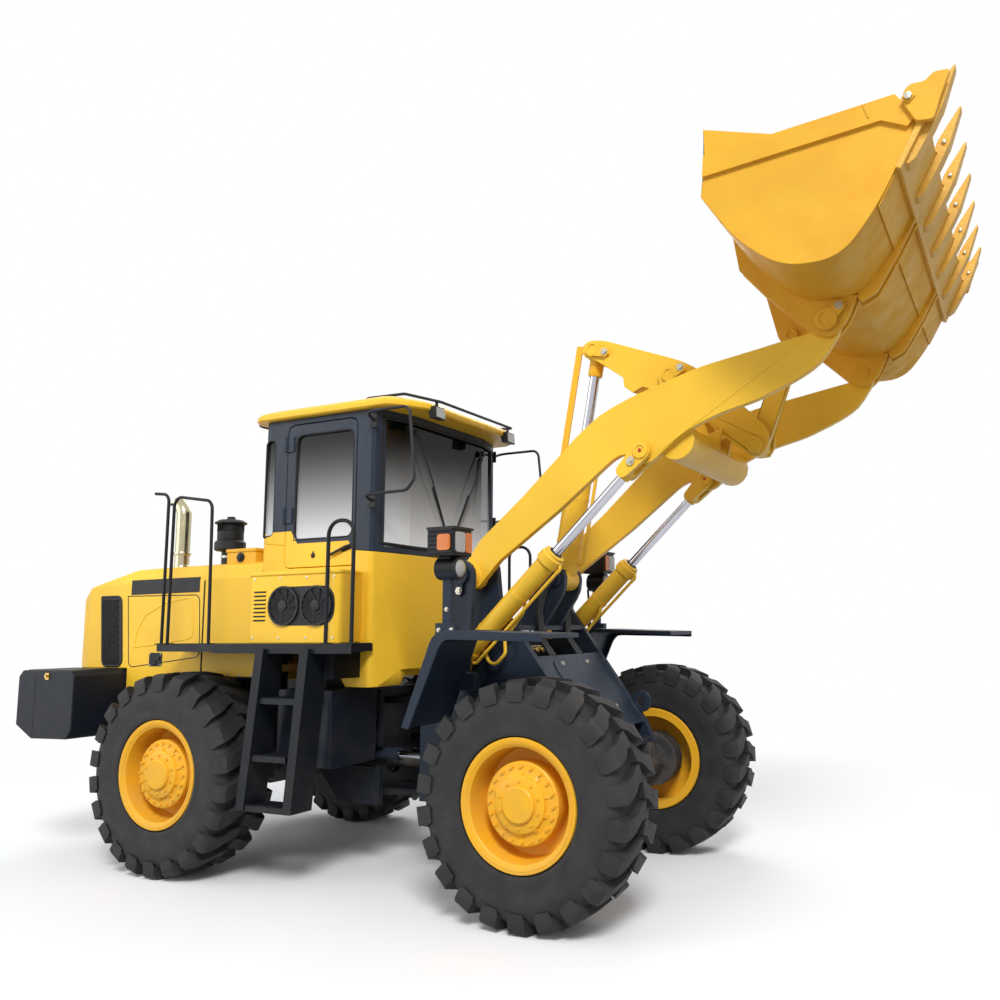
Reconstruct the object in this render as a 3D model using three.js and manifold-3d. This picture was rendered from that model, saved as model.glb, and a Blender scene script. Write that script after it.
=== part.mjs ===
// An articulated wheel loader: rear chassis with engine and cab, front chassis with the loading arms,
// a Z-bar tilt linkage, a toothed bucket, four wheels and the hydraulic cylinders that move them.
// Millimetres. X points forward, Y to the machine's left and Z up.
// X = 0 is the articulation pin and Z = 0 the ground.
import * as THREE from "three";
import { mergeVertices } from "three/addons/utils/BufferGeometryUtils.js";
import Module from "manifold-3d";

const wasm = await Module();
wasm.setup();

// ---------------------------------------------------------------- driving dimensions
const seatGap = 0.3; // between pieces that touch
const hingeGap = 0.5; // between the cheeks of a hinge
const boreGap = 0.9; // a bore's radius over its pin's, so that facets clear as it turns
const openGap = 8; // at a pivot where a linkage is open

const wheelbase = 2770;
const track = 1930;
const frontAxleX = wheelbase / 2;
const rearAxleX = -wheelbase / 2;

const tyre = { radius: 665, width: 444, treadWidth: 300, shoulderDrop: 25, seat: 325 };
const rim = {
  flange: 356,
  beadHalf: 177,
  halfWidth: 204,
  barrel: 300,
  disc: 22,
  hub: 222,
  cover: 152,
  cap: 96,
};
const axle = { tube: 110, diff: 205, spindle: 60, hubHousing: 190 };
const axleZ = tyre.radius;

const rail = {
  y: 400,
  thick: 40,
  bottom: 800,
  top: 1020,
  rear: rearAxleX - 915,
  front: -130,
  noseTop: 1200,
  noseBottom: axleZ - 235,
};
const railInner = rail.y - rail.thick / 2;
const lug = { radius: 110, thick: 40, upper: 1085, lower: axleZ - 210, pin: 40 };

const counterweight = { rear: rearAxleX - 1525, front: rearAxleX - 905, half: 1150, bottom: 845, top: 1335 };
const hood = { half: 735, wall: 30, seam: -1500, rear: rearAxleX - 1515, top: 2095, skirt: 1180, round: 130 };
const cowl = { bottom: 1285, rear: -960 };
const body = { half: 750, rear: -955, side: 40, front: 130, corner: 450, wall: 45 };
const cab = { floor: 1456, crease: 1456, skirt: 1235, sill: 2215, sillFront: 2110, top: 3085 };
const glass = { thick: 8 };
const door = {
  rear: -730,
  front: -108,
  rightBottom: 2030,
  leftBottom: 1560,
  top: 3045,
  frame: 75,
  thick: 40,
};
const roof = { bottom: 3085, top: 3190, half: 800, rear: -1050, front: 330, corner: 160 };
const platform = { top: 1520, thick: 50, outer: 1120, rear: -1630, front: 200 };

const armY = 585;
const armThick = 50;
const hubHalf = 80; // half length of an arm's rear hub and of a cylinder's base eye
const tower = { inner: 455, innerThick: 44.5, outer: 700, bottom: 819.7 };
const pivotA = [700, 1940]; // arms on the tower
const pivotB = [3030, 3260]; // bucket on the arms
const pivotC = [600, 1375]; // lift cylinder on the tower
const pivotK = [1920, 2635]; // lift rod on the arm
const pivotD = [1070, 1930]; // tilt cylinder on the tower
const pivotT = [1350, 3487]; // tilt rod on the bellcrank
const pivotP = [1910, 3230]; // bellcrank on the arms
const pivotQ = [2455, 2720]; // tilt link on the bellcrank
const pivotR = [2710, 3380]; // tilt link on the bucket
const crossTube = { at: [2110, 2690], radius: 115 };
const lift = {
  barrel: 64,
  barrelLength: 905,
  head: 78,
  headLength: 90,
  eye: 70,
  pin: 35,
  rod: 32,
  piston: 700,
  rodEnd: 160,
  clevis: 58,
};
const tilt = {
  barrel: 86,
  barrelLength: 790,
  head: 98,
  headLength: 80,
  eye: 74,
  pin: 38,
  rod: 36,
  piston: 660,
  rodEnd: 60,
  half: 46,
};
const bellPlate = { inner: 58, thick: 30 };
const steer = {
  base: [-560, 300],
  eye: [250, 330],
  z: 760,
  barrel: 42,
  barrelLength: 520,
  rod: 24,
  half: 22,
  pin: 25,
};

const bucket = { half: 1235, shell: 25, side: 20, strap: 20, ear: 30, edge: 30, tooth: 320, teeth: 7 };

// ---------------------------------------------------------------- solids
function toSolid(geometry) {
  const bare = geometry.clone();
  bare.deleteAttribute("normal");
  bare.deleteAttribute("uv");
  const merged = mergeVertices(bare, 1e-3);
  const mesh = new wasm.Mesh({
    numProp: 3,
    vertProperties: merged.attributes.position.array,
    triVerts: new Uint32Array(merged.index.array),
  });
  return new wasm.Manifold(mesh);
}

function toGeometry(solid) {
  const { vertProperties, triVerts } = solid.getMesh();
  const geometry = new THREE.BufferGeometry();
  geometry.setAttribute("position", new THREE.BufferAttribute(Float32Array.from(vertProperties), 3));
  geometry.setIndex(new THREE.BufferAttribute(Uint32Array.from(triVerts), 1));
  return geometry;
}

const join = (...solids) => solids.flat().reduce((whole, piece) => whole.add(piece));
const cut = (solid, ...tools) => tools.flat().reduce((left, tool) => left.subtract(tool), solid);
const common = (first, ...others) => others.reduce((left, other) => left.intersect(other), first);

// The same geometry on the other side of the centre plane.
function mirrored(geometry) {
  const copy = geometry.index ? geometry.clone() : mergeVertices(geometry);
  copy.scale(1, -1, 1);
  const index = copy.index.array;
  for (let i = 0; i < index.length; i += 3) [index[i], index[i + 1]] = [index[i + 1], index[i]];
  return copy;
}
const mirrorSolid = (solid) => toSolid(mirrored(toGeometry(solid)));
const onBothSides = (solid) => join(solid, mirrorSolid(solid));
// A piece drawn on the left, for its own side of the machine.
const onSide = (side, solid) => (side > 0 ? toGeometry(solid) : mirrored(toGeometry(solid)));

// A closed outline from [a, b] or [a, b, corner size] points.
function outline(points) {
  const shape = new THREE.Shape();
  const corner = (i) => new THREE.Vector2(...points[(i + points.length) % points.length].slice(0, 2));
  const toward = (from, to, distance) => from.clone().add(to.clone().sub(from).setLength(distance));
  points.forEach(([, , asked = 0], i) => {
    const here = corner(i);
    const shorter = Math.min(here.distanceTo(corner(i - 1)), here.distanceTo(corner(i + 1)));
    const size = Math.min(asked, 0.45 * shorter);
    const start = size ? toward(here, corner(i - 1), size) : here;
    if (i) shape.lineTo(start.x, start.y);
    else shape.moveTo(start.x, start.y);
    if (!size) return;
    const end = toward(here, corner(i + 1), size);
    shape.quadraticCurveTo(here.x, here.y, end.x, end.y);
  });
  return shape;
}

// The outline of a link between two round ends.
function linkOutline([ax, az], ra, [bx, bz], rb) {
  const along = Math.atan2(bz - az, bx - ax);
  const spread = Math.acos((ra - rb) / Math.hypot(bx - ax, bz - az));
  const shape = new THREE.Shape();
  shape.absarc(ax, az, ra, along + spread, along - spread + 2 * Math.PI, false);
  shape.absarc(bx, bz, rb, along - spread, along + spread, false);
  return shape;
}

const asShape = (points) => (Array.isArray(points) ? outline(points) : points);
const extrude = (points, depth, curveSegments) =>
  new THREE.ExtrudeGeometry(asShape(points), { depth, bevelEnabled: false, curveSegments });

// An (x, z) outline between two y values.
function sideSlab(points, yLow, yHigh, curveSegments = 2) {
  return toSolid(extrude(points, yHigh - yLow, curveSegments).rotateX(Math.PI / 2).translate(0, yHigh, 0));
}
// An (x, y) outline between two z values.
function planSlab(points, zLow, zHigh, curveSegments = 2) {
  return toSolid(extrude(points, zHigh - zLow, curveSegments).translate(0, 0, zLow));
}
// A (y, z) outline between two x values.
function frontSlab(points, xLow, xHigh, curveSegments = 2) {
  const turn = new THREE.Matrix4().makeBasis(
    new THREE.Vector3(0, 1, 0),
    new THREE.Vector3(0, 0, 1),
    new THREE.Vector3(1, 0, 0),
  );
  return toSolid(extrude(points, xHigh - xLow, curveSegments).applyMatrix4(turn).translate(xLow, 0, 0));
}
function box(xLow, xHigh, yLow, yHigh, zLow, zHigh) {
  const geometry = new THREE.BoxGeometry(xHigh - xLow, yHigh - yLow, zHigh - zLow);
  return toSolid(geometry.translate((xLow + xHigh) / 2, (yLow + yHigh) / 2, (zLow + zHigh) / 2));
}
// A round bar between two points.
function bar(from, to, radius, sides = 12) {
  const start = new THREE.Vector3(...from);
  const run = new THREE.Vector3(...to).sub(start);
  const geometry = new THREE.CylinderGeometry(radius, radius, run.length(), sides);
  const turn = new THREE.Quaternion().setFromUnitVectors(new THREE.Vector3(0, 1, 0), run.clone().normalize());
  return toSolid(geometry.applyQuaternion(turn).translate(...start.addScaledVector(run, 0.5).toArray()));
}
const pinY = ([x, z], radius, yLow, yHigh, sides = 16) => bar([x, yLow, z], [x, yHigh, z], radius, sides);
const pinZ = ([x, y], radius, zLow, zHigh, sides = 16) => bar([x, y, zLow], [x, y, zHigh], radius, sides);
const lathe = (profile, sides) =>
  toSolid(new THREE.LatheGeometry(profile.map(([r, y]) => new THREE.Vector2(r, y)).reverse(), sides));

// A bent tube: straight runs between the given points, with each corner rounded.
class BentPath extends THREE.Curve {
  constructor(corners, bend) {
    super();
    const at = corners.map((point) => new THREE.Vector3(...point));
    this.points = [at[0]];
    for (let i = 1; i < at.length - 1; i++) {
      const size = Math.min(bend, at[i].distanceTo(at[i - 1]) / 2.1, at[i].distanceTo(at[i + 1]) / 2.1);
      const start = at[i].clone().add(at[i - 1].clone().sub(at[i]).setLength(size));
      const end = at[i].clone().add(at[i + 1].clone().sub(at[i]).setLength(size));
      this.points.push(...new THREE.QuadraticBezierCurve3(start, at[i], end).getPoints(2));
    }
    this.points.push(at[at.length - 1]);
  }
  getSpacedPoints() {
    return this.points;
  }
  getTangentAt(u, target = new THREE.Vector3()) {
    const last = this.points.length - 1;
    const i = Math.round(u * last);
    const into = this.points[Math.max(i, 1)].clone().sub(this.points[Math.max(i, 1) - 1]).normalize();
    const out = this.points[Math.min(i, last - 1) + 1].clone().sub(this.points[Math.min(i, last - 1)]);
    return target.copy(into.add(out.normalize()).normalize());
  }
}
function tube(corners, radius, bend = 60, sides = 6) {
  const path = new BentPath(corners, bend);
  const section = new THREE.Shape();
  for (let i = 0; i < sides; i++) {
    const angle = (2 * Math.PI * i) / sides;
    section[i ? "lineTo" : "moveTo"](radius * Math.cos(angle), radius * Math.sin(angle));
  }
  return toSolid(new THREE.ExtrudeGeometry(section, { steps: path.points.length - 1, extrudePath: path }));
}

// ---------------------------------------------------------------- materials
const paint = (color, roughness = 0.4, metalness = 0) => () =>
  new THREE.MeshStandardMaterial({ color, roughness, metalness });
const yellow = paint(0xf2b61c);
const orangeYellow = paint(0xf2a21a);
const slate = paint(0x2b323d, 0.5);
const black = paint(0x14151a, 0.8);
const rubber = paint(0x17181a, 0.9);
const chrome = paint(0xd5d8dc, 0.12, 1);
const castIron = paint(0x3a3b3d, 0.6, 0.7);
const tinted = paint(0x5c6468, 0.1);

const machine = new THREE.Group();
function add(name, shape, material) {
  const geometry = shape.isBufferGeometry ? shape : toGeometry(shape);
  const mesh = new THREE.Mesh(geometry, material());
  mesh.name = name;
  machine.add(mesh);
  return mesh;
}

// ---------------------------------------------------------------- wheels
const tyreHalf = tyre.width / 2;
const treadHalf = tyre.treadWidth / 2;
const halfTyreSection = [
  [tyre.seat, rim.beadHalf - seatGap],
  [rim.flange + seatGap, rim.beadHalf - seatGap],
  [rim.flange + 8, rim.halfWidth],
  [470, tyreHalf],
  [tyre.radius - tyre.shoulderDrop, tyreHalf - 12],
  [tyre.radius, treadHalf],
];
const tyreSection = [
  ...halfTyreSection,
  ...halfTyreSection.map(([r, y]) => [r, -y]).reverse(),
  halfTyreSection[0],
];
const spindleEnd = 95; // depth of the spindle's bore outboard of the wheel's centre plane
const rimSection = [
  [0, 190],
  [rim.cap, 190],
  [rim.cap, 160],
  [rim.cover, 160],
  [rim.cover, 106],
  [rim.hub, 106],
  [rim.hub, rim.disc],
  [rim.barrel, rim.disc],
  [rim.barrel, rim.halfWidth],
  [rim.flange, rim.halfWidth],
  [rim.flange, rim.beadHalf],
  [tyre.seat - seatGap, rim.beadHalf],
  [tyre.seat - seatGap, -rim.beadHalf],
  [rim.flange, -rim.beadHalf],
  [rim.flange, -rim.halfWidth],
  [rim.barrel, -rim.halfWidth],
  [rim.barrel, -rim.disc],
  [axle.spindle + boreGap, -60],
  [axle.spindle + boreGap, spindleEnd],
  [0, spindleEnd],
];
const wheelSides = 22;
for (const [end, x] of [["front", frontAxleX], ["rear", rearAxleX]]) {
  for (const [hand, side] of [["left", 1], ["right", -1]]) {
    const wheel = new THREE.Group();
    wheel.position.set(x, (side * track) / 2, axleZ);
    wheel.rotation.z = side > 0 ? 0 : Math.PI; // the rim's outer face looks away from the machine
    const tyreMesh = new THREE.Mesh(toGeometry(lathe(tyreSection, wheelSides)), rubber());
    tyreMesh.name = `${end}_${hand}_tyre`;
    const rimMesh = new THREE.Mesh(toGeometry(lathe(rimSection, wheelSides)), orangeYellow());
    rimMesh.name = `${end}_${hand}_rim`;
    wheel.add(tyreMesh, rimMesh);
    machine.add(wheel);
  }
}

// An axle: tube, differential, brake housings, and a spindle into each wheel.
function axleBody(x) {
  const housingIn = track / 2 - 225;
  const hubFace = track / 2 - 60 - 5;
  const half = join(
    bar([x, 0, axleZ], [x, hubFace, axleZ], axle.tube, 16),
    bar([x, housingIn, axleZ], [x, track / 2 - 85, axleZ], axle.hubHousing, 16),
    bar([x, hubFace - 10, axleZ], [x, track / 2 + spindleEnd - 2, axleZ], axle.spindle, wheelSides),
  );
  const diff = bar([x, -150, axleZ], [x, 150, axleZ], axle.diff, 16);
  return join(onBothSides(half), diff);
}

// ---------------------------------------------------------------- rear chassis
const railOutline = [
  [rail.rear, rail.bottom],
  [rail.rear, rail.top],
  [-640, rail.top, 40],
  [-540, rail.noseTop, 40],
  [rail.front, rail.noseTop],
  [rail.front, rail.noseBottom],
  [-470, rail.noseBottom, 40],
  [-800, rail.bottom, 40],
];
const hitchWall = -330;
function hitchLug(z, facing, wall) {
  const root = 190;
  const plan = [
    [wall, -root],
    [wall, root],
    [0, lug.radius, 0],
    [0, -lug.radius, 0],
  ].map(([x, y]) => [x * facing, y]);
  const round = pinZ([0, 0], lug.radius, z, z + lug.thick, 16);
  return join(planSlab(plan, z, z + lug.thick), round);
}
const railSlab = sideSlab(railOutline, rail.y - rail.thick / 2, rail.y + rail.thick / 2);
const trunnion = { pin: 100, hanger: 245 };
const memberHalf = railInner + 15; // cross members run a little into the rails
const hangerOutline = [
  [-memberHalf, rail.bottom - 10],
  [-memberHalf, rail.top - 10],
  [memberHalf, rail.top - 10],
  [memberHalf, rail.bottom - 10],
  [170, axleZ - 125],
  [-170, axleZ - 125],
];
const hangerAt = (x) =>
  cut(
    frontSlab(hangerOutline, x - 20, x + 20),
    bar([x - 30, 0, axleZ], [x + 30, 0, axleZ], trunnion.pin + seatGap, 16),
  );
const tank = join(box(-560, -110, 490, 930, 740, 1225), box(-540, -140, rail.y, 500, 1000, 1180));
const cabMountZ = cab.floor - seatGap;
const earReach = steer.half + hingeGap;
const steerEarPlan = linkOutline(steer.base, 58, [steer.base[0], rail.y + 5], 59);
const steerBase = join(
  planSlab(steerEarPlan, steer.z + earReach, steer.z + earReach + 26),
  planSlab(steerEarPlan, steer.z - earReach - 26, steer.z - earReach),
  pinZ(steer.base, steer.pin, steer.z - earReach - 38, steer.z + earReach + 38),
);
const steerWindow = (x, half) =>
  onBothSides(box(x - 60, x + 60, 200, 432, steer.z - half, steer.z + half));
const railWindow = onBothSides(
  box(-455, rail.front + 50, rail.y - 60, rail.y + 60, steer.z - 75, steer.z + 75),
);
const hitchWallOutline = [
  [-memberHalf, lug.lower],
  [-memberHalf, rail.noseTop - 5],
  [memberHalf, rail.noseTop - 5],
  [memberHalf, lug.lower],
];
const rearFrame = join(
  railSlab,
  mirrorSolid(railSlab),
  box(rail.rear, rail.rear + 40, -memberHalf, memberHalf, rail.bottom, rail.top),
  box(-1010, -970, -memberHalf, memberHalf, rail.bottom + 60, rail.top),
  frontSlab(hitchWallOutline, hitchWall - 40, hitchWall),
  hitchLug(lug.upper, 1, hitchWall),
  hitchLug(lug.lower, 1, hitchWall),
  pinZ([0, 0], lug.pin, lug.upper - lug.thick - 12, lug.upper + 5, 16),
  pinZ([0, 0], lug.pin, lug.lower + lug.thick - 5, lug.lower + 2 * lug.thick + 12, 16),
  hangerAt(rearAxleX - trunnion.hanger),
  hangerAt(rearAxleX + trunnion.hanger),
  onBothSides(tank),
  onBothSides(steerBase),
  onBothSides(box(-480, -420, rail.y + 10, 640, 1150, cabMountZ)),
  onBothSides(box(-220, -160, rail.y + 10, 640, 1150, cabMountZ)),
);
const propWindow = bar([hitchWall - 60, 0, axleZ], [hitchWall + 20, 0, axleZ], 90, 16);
add("rear_frame", cut(rearFrame, propWindow, steerWindow(hitchWall, 75), railWindow), slate);

add(
  "counterweight",
  cut(
    sideSlab(
      [
        [counterweight.rear, 940],
        [counterweight.rear, counterweight.top - 45],
        [counterweight.rear + 45, counterweight.top],
        [counterweight.front - 40, counterweight.top],
        [counterweight.front, counterweight.top - 35],
        [counterweight.front, 918],
        [counterweight.front - 50, counterweight.bottom + 8],
        [counterweight.rear + 183, counterweight.bottom],
      ],
      -counterweight.half,
      counterweight.half,
    ),
    // a pocket for the frame's rear end
    box(rail.rear - seatGap, counterweight.front + 50, -rail.y - 25, rail.y + 25, 700, 1100),
  ),
  slate,
);

const rearAxle = join(
  axleBody(rearAxleX),
  bar([rearAxleX - 275, 0, axleZ], [rearAxleX + 275, 0, axleZ], trunnion.pin, 16),
);
add("rear_axle", rearAxle, castIron);

const engine = { rear: rearAxleX - 845, front: rearAxleX - 280 };
const engineFoot = (x) => box(x, x + 80, -rail.y - 10, rail.y + 10, rail.top + seatGap, rail.top + 60);
add(
  "engine_block",
  join(
    box(engine.rear, engine.front, -300, 300, 930, 1760),
    engineFoot(engine.rear + 50),
    engineFoot(engine.front - 95),
  ),
  castIron,
);
const shaftRadius = 42;
add(
  "transmission",
  join(
    box(-960, -480, -232, 232, 560, rail.top - 80),
    box(-930, -880, -railInner + seatGap, railInner - seatGap, 880, 930),
    box(-560, -510, -railInner + seatGap, railInner - seatGap, 880, 930),
    bar([rearAxleX + 275 + seatGap, 0, axleZ], [-900, 0, axleZ], shaftRadius, 12),
    bar([-500, 0, axleZ], [-40, 0, axleZ], shaftRadius, 12),
  ),
  castIron,
);

// Engine hood: a sheet shell, open below and towards the cab.
function bodyShell(side, xLow, xHigh, inset) {
  const half = hood.half - inset;
  const top = hood.top + 20 - inset;
  const across = frontSlab(
    [
      [-half, 900],
      [-half, top, hood.round],
      [half, top, hood.round],
      [half, 900],
    ],
    xLow,
    xHigh,
  );
  return common(sideSlab(side, -half - 50, half + 50), across);
}
const hoodBreak = hood.rear + 642; // where the top starts to fall towards the rear
const hoodSide = (inset) => [
  [hood.rear + inset + 25, counterweight.top + seatGap],
  [hood.rear + inset, 1668],
  [hood.rear + 27 + inset, 1864, 40],
  [hood.rear + 160 + inset / 2, 1955 - inset],
  [hoodBreak, hood.top - 16 - inset],
  [hood.seam, hood.top - inset],
  [hood.seam, hood.skirt],
  [counterweight.front + 5 + inset, hood.skirt],
  [counterweight.front + 5 + inset, counterweight.top + seatGap],
];
const hoodPlan = (inset) => [
  [hood.rear + inset - 5, -hood.half + inset, 170],
  [hood.rear + inset - 5, hood.half - inset, 170],
  [0, hood.half - inset],
  [0, -hood.half + inset],
];
const hoodOuter = common(
  bodyShell(hoodSide(0), -3200, hood.seam, 0),
  planSlab(hoodPlan(0), 900, 2400),
);
const hoodInner = common(
  bodyShell(
    [
      ...hoodSide(hood.wall).slice(1, 4),
      [hood.seam + 50, hood.top - hood.wall],
      [hood.seam + 50, 900],
      [hood.rear + hood.wall + 25, 900],
    ],
    -3200,
    hood.seam + 50,
    hood.wall,
  ),
  planSlab(hoodPlan(hood.wall), 800, 2400),
);
const rearOpening = box(hood.rear - 50, hood.rear + 90, -520, 520, 1420, 1840);
add("engine_hood", cut(hoodOuter, hoodInner, rearOpening), yellow);
add(
  "radiator_grille",
  box(hood.rear + 26, hood.rear + 46, -520 + seatGap, 520 - seatGap, 1420 + seatGap, 1840 - seatGap),
  black,
);

// The fixed cowl between the hood and the cab.
const cowlFront = hood.seam + seatGap;
const cowlSide = (inset) => [
  [cowlFront, cowl.bottom],
  [cowlFront, hood.top - inset],
  [cowl.rear - seatGap, hood.top + 8 - inset],
  [cowl.rear - seatGap, cowl.bottom],
];
const cowlOuter = bodyShell(cowlSide(0), cowlFront, cowl.rear - seatGap, 0);
const cowlInner = bodyShell(
  [
    [cowlFront - 50, 900],
    [cowlFront - 50, hood.top - hood.wall],
    [cowl.rear + 50, hood.top - hood.wall],
    [cowl.rear + 50, 900],
  ],
  cowlFront - 50,
  cowl.rear + 50,
  hood.wall,
);
const ribHalf = hood.half - 10;
const cowlRib = box(cowlFront + 40, cowlFront + 80, -ribHalf, ribHalf, cowl.bottom, cowl.bottom + 60);
const fillerBox = box(-1390, -1110, -hood.half + 95, -260, hood.top - 10, hood.top + 105);
add("cowl", join(cut(cowlOuter, cowlInner), cowlRib, fillerBox), yellow);

const exhaustAt = [-2125, -420];
const hoodTopAt = (x) => hood.top - (16 * (hood.seam - x)) / (hood.seam - hoodBreak);
add(
  "exhaust_pipe",
  join(
    pinZ(exhaustAt, 78, hoodTopAt(exhaustAt[0] + 78) + seatGap, hoodTopAt(exhaustAt[0]) + 20, 16),
    tube(
      [
        [exhaustAt[0], exhaustAt[1], 2090],
        [exhaustAt[0], exhaustAt[1], 2560],
        [exhaustAt[0] - 80, exhaustAt[1], 2640],
      ],
      57,
      80,
      14,
    ),
  ),
  chrome,
);
const cleanerAt = [-1630, -400];
const cleanerBase = hoodTopAt(cleanerAt[0] + 60) + seatGap;
add(
  "air_precleaner",
  join(
    pinZ(cleanerAt, 60, cleanerBase, 2225, 16),
    pinZ(cleanerAt, 116, 2215, 2300, 16),
    pinZ(cleanerAt, 99, 2295, 2435, 16),
    pinZ(cleanerAt, 120, 2430, 2462, 16),
    pinZ(cleanerAt, 30, 2457, 2490, 12),
  ),
  black,
);

// ---------------------------------------------------------------- cab
const cabPlan = (inset) => [
  [body.rear + inset, -body.half + inset, 60],
  [body.side - inset / 2, -body.half + inset, 30],
  [body.front - inset, -body.corner],
  [body.front - inset, body.corner],
  [body.side - inset / 2, body.half - inset, 30],
  [body.rear + inset, body.half - inset, 60],
];
const skirtCut = sideSlab(
  [
    [-2000, 900],
    [-2000, cab.crease],
    [-330, cab.crease],
    [-160, cab.skirt],
    [55, cab.skirt],
    [110, 1340],
    [1000, 1400],
    [1000, 900],
  ],
  -2000,
  2000,
);
// The door opening in a side wall, from its sill to the header.
function doorOpening(side, bottom) {
  const outside = side > 0 ? [body.half - 60, body.half + 60] : [-body.half - 60, -body.half + 60];
  return sideSlab(
    [
      [door.rear, bottom, 40],
      [door.rear, door.top, 60],
      [door.front, door.top, 60],
      [door.front, bottom, 40],
    ],
    ...outside,
  );
}
const lowerTop = (x) => cab.sill + ((x - body.rear) / (body.front - body.rear)) * (cab.sillFront - cab.sill);
const baseTopCut = sideSlab(
  [
    [-2000, lowerTop(-2000)],
    [-2000, 4000],
    [2000, 4000],
    [2000, lowerTop(2000)],
  ],
  -2000,
  2000,
);
const upperCut = sideSlab(
  [
    [-2000, lowerTop(-2000) + seatGap],
    [-2000, 0],
    [2000, 0],
    [2000, lowerTop(2000) + seatGap],
  ],
  -2000,
  2000,
);
const cabHollow = planSlab(cabPlan(body.wall), cab.floor + 45, 4000);
const doorSteps = [doorOpening(-1, door.rightBottom), doorOpening(1, door.leftBottom)];
add(
  "cab_base",
  cut(
    planSlab(cabPlan(0), cab.skirt, cab.sill + 10),
    cabHollow,
    skirtCut,
    baseTopCut,
    doorSteps,
    // open below the floor
    box(-2000, body.side - 60, -body.half + 60, body.half - 60, 1000, cab.floor),
    box(-200, body.front - body.wall, -body.corner, body.corner, 1000, cab.floor),
  ),
  yellow,
);

const windowTop = 3035;
const postWidth = 70;
const paneLow = lowerTop(body.front) + 45;
const paneHalf = body.half - 85;
const windscreenOpening = box(50, 400, -paneHalf, paneHalf, paneLow, windowTop);
const quarterOutline = (inset) => [
  [body.rear + 22 + inset, 2262 + inset, 40],
  [body.rear + 22 + inset, 2950 - inset, 40],
  [body.rear + 112 - inset, 2950 - inset, 40],
  [body.rear + 112 - inset, 2262 + inset, 40],
];
const quarterOpening = sideSlab(quarterOutline(0), -1000, 1000);
const rearOpeningCab = box(body.rear - 50, body.rear + 80, -560, 560, 2330, 2960);
add(
  "cab_frame",
  cut(
    planSlab(cabPlan(0), cab.sillFront, cab.top),
    planSlab(cabPlan(body.wall), 1000, 4000),
    upperCut,
    doorSteps,
    windscreenOpening,
    quarterOpening,
    rearOpeningCab,
  ),
  slate,
);

const paneInset = (body.wall - glass.thick) / 2;
const paneRing = (extra) => [
  [body.side - extra / 2 - postWidth - 60, -body.half + extra],
  [body.side - extra / 2, -body.half + extra],
  [body.front - extra, -body.corner],
  [body.front - extra, body.corner],
  [body.side - extra / 2, body.half - extra],
  [body.side - extra / 2 - postWidth - 60, body.half - extra],
];
const paneSolid = cut(
  planSlab(paneRing(paneInset), paneLow + seatGap, windowTop - seatGap),
  planSlab(
    paneRing(paneInset + glass.thick).map(([x, y], i) => [i === 0 || i === 5 ? x - 60 : x, y]),
    1000,
    4000,
  ),
);
add(
  "windscreen",
  common(paneSolid, box(50 + seatGap, 400, -paneHalf + seatGap, paneHalf - seatGap, 1000, 4000)),
  tinted,
);
add(
  "rear_window",
  box(
    body.rear + paneInset,
    body.rear + paneInset + glass.thick,
    -560 + seatGap,
    560 - seatGap,
    2330 + seatGap,
    2960 - seatGap,
  ),
  tinted,
);
for (const [name, side] of [["right", -1], ["left", 1]]) {
  const outer = side * (body.half - paneInset);
  const inner = side * (body.half - paneInset - glass.thick);
  add(
    `${name}_quarter_window`,
    sideSlab(quarterOutline(seatGap), Math.min(outer, inner), Math.max(outer, inner)),
    tinted,
  );
}

const roofPlan = [
  [roof.rear, -roof.half + 60, 40],
  [roof.rear + 80, -roof.half, 40],
  [roof.front - roof.corner, -roof.half, 40],
  [roof.front, -roof.half + roof.corner + 90, 40],
  [roof.front, roof.half - roof.corner - 90, 40],
  [roof.front - roof.corner, roof.half, 40],
  [roof.rear + 80, roof.half, 40],
  [roof.rear, roof.half - 60, 40],
];
const smaller = (points, inset) => {
  const middle = (roof.rear + roof.front) / 2;
  return points.map(([x, y, size]) => [x - Math.sign(x - middle) * inset, y - Math.sign(y) * inset, size]);
};
const railAt = (x, reach, y) =>
  tube(
    [
      [x, -y, roof.bottom + 70],
      [x + reach, -y, roof.bottom + 85],
      [x + reach, y, roof.bottom + 85],
      [x, y, roof.bottom + 70],
    ],
    11,
    60,
  );
add(
  "cab_roof",
  join(
    planSlab(roofPlan, roof.bottom + seatGap, roof.bottom + 62),
    planSlab(smaller(roofPlan, 45), roof.bottom + 60, roof.top - 15),
    planSlab(smaller(roofPlan, 110), roof.top - 20, roof.top),
    railAt(roof.front - 40, 95, 560),
    railAt(roof.rear + 40, -170, 560),
  ),
  yellow,
);

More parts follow.
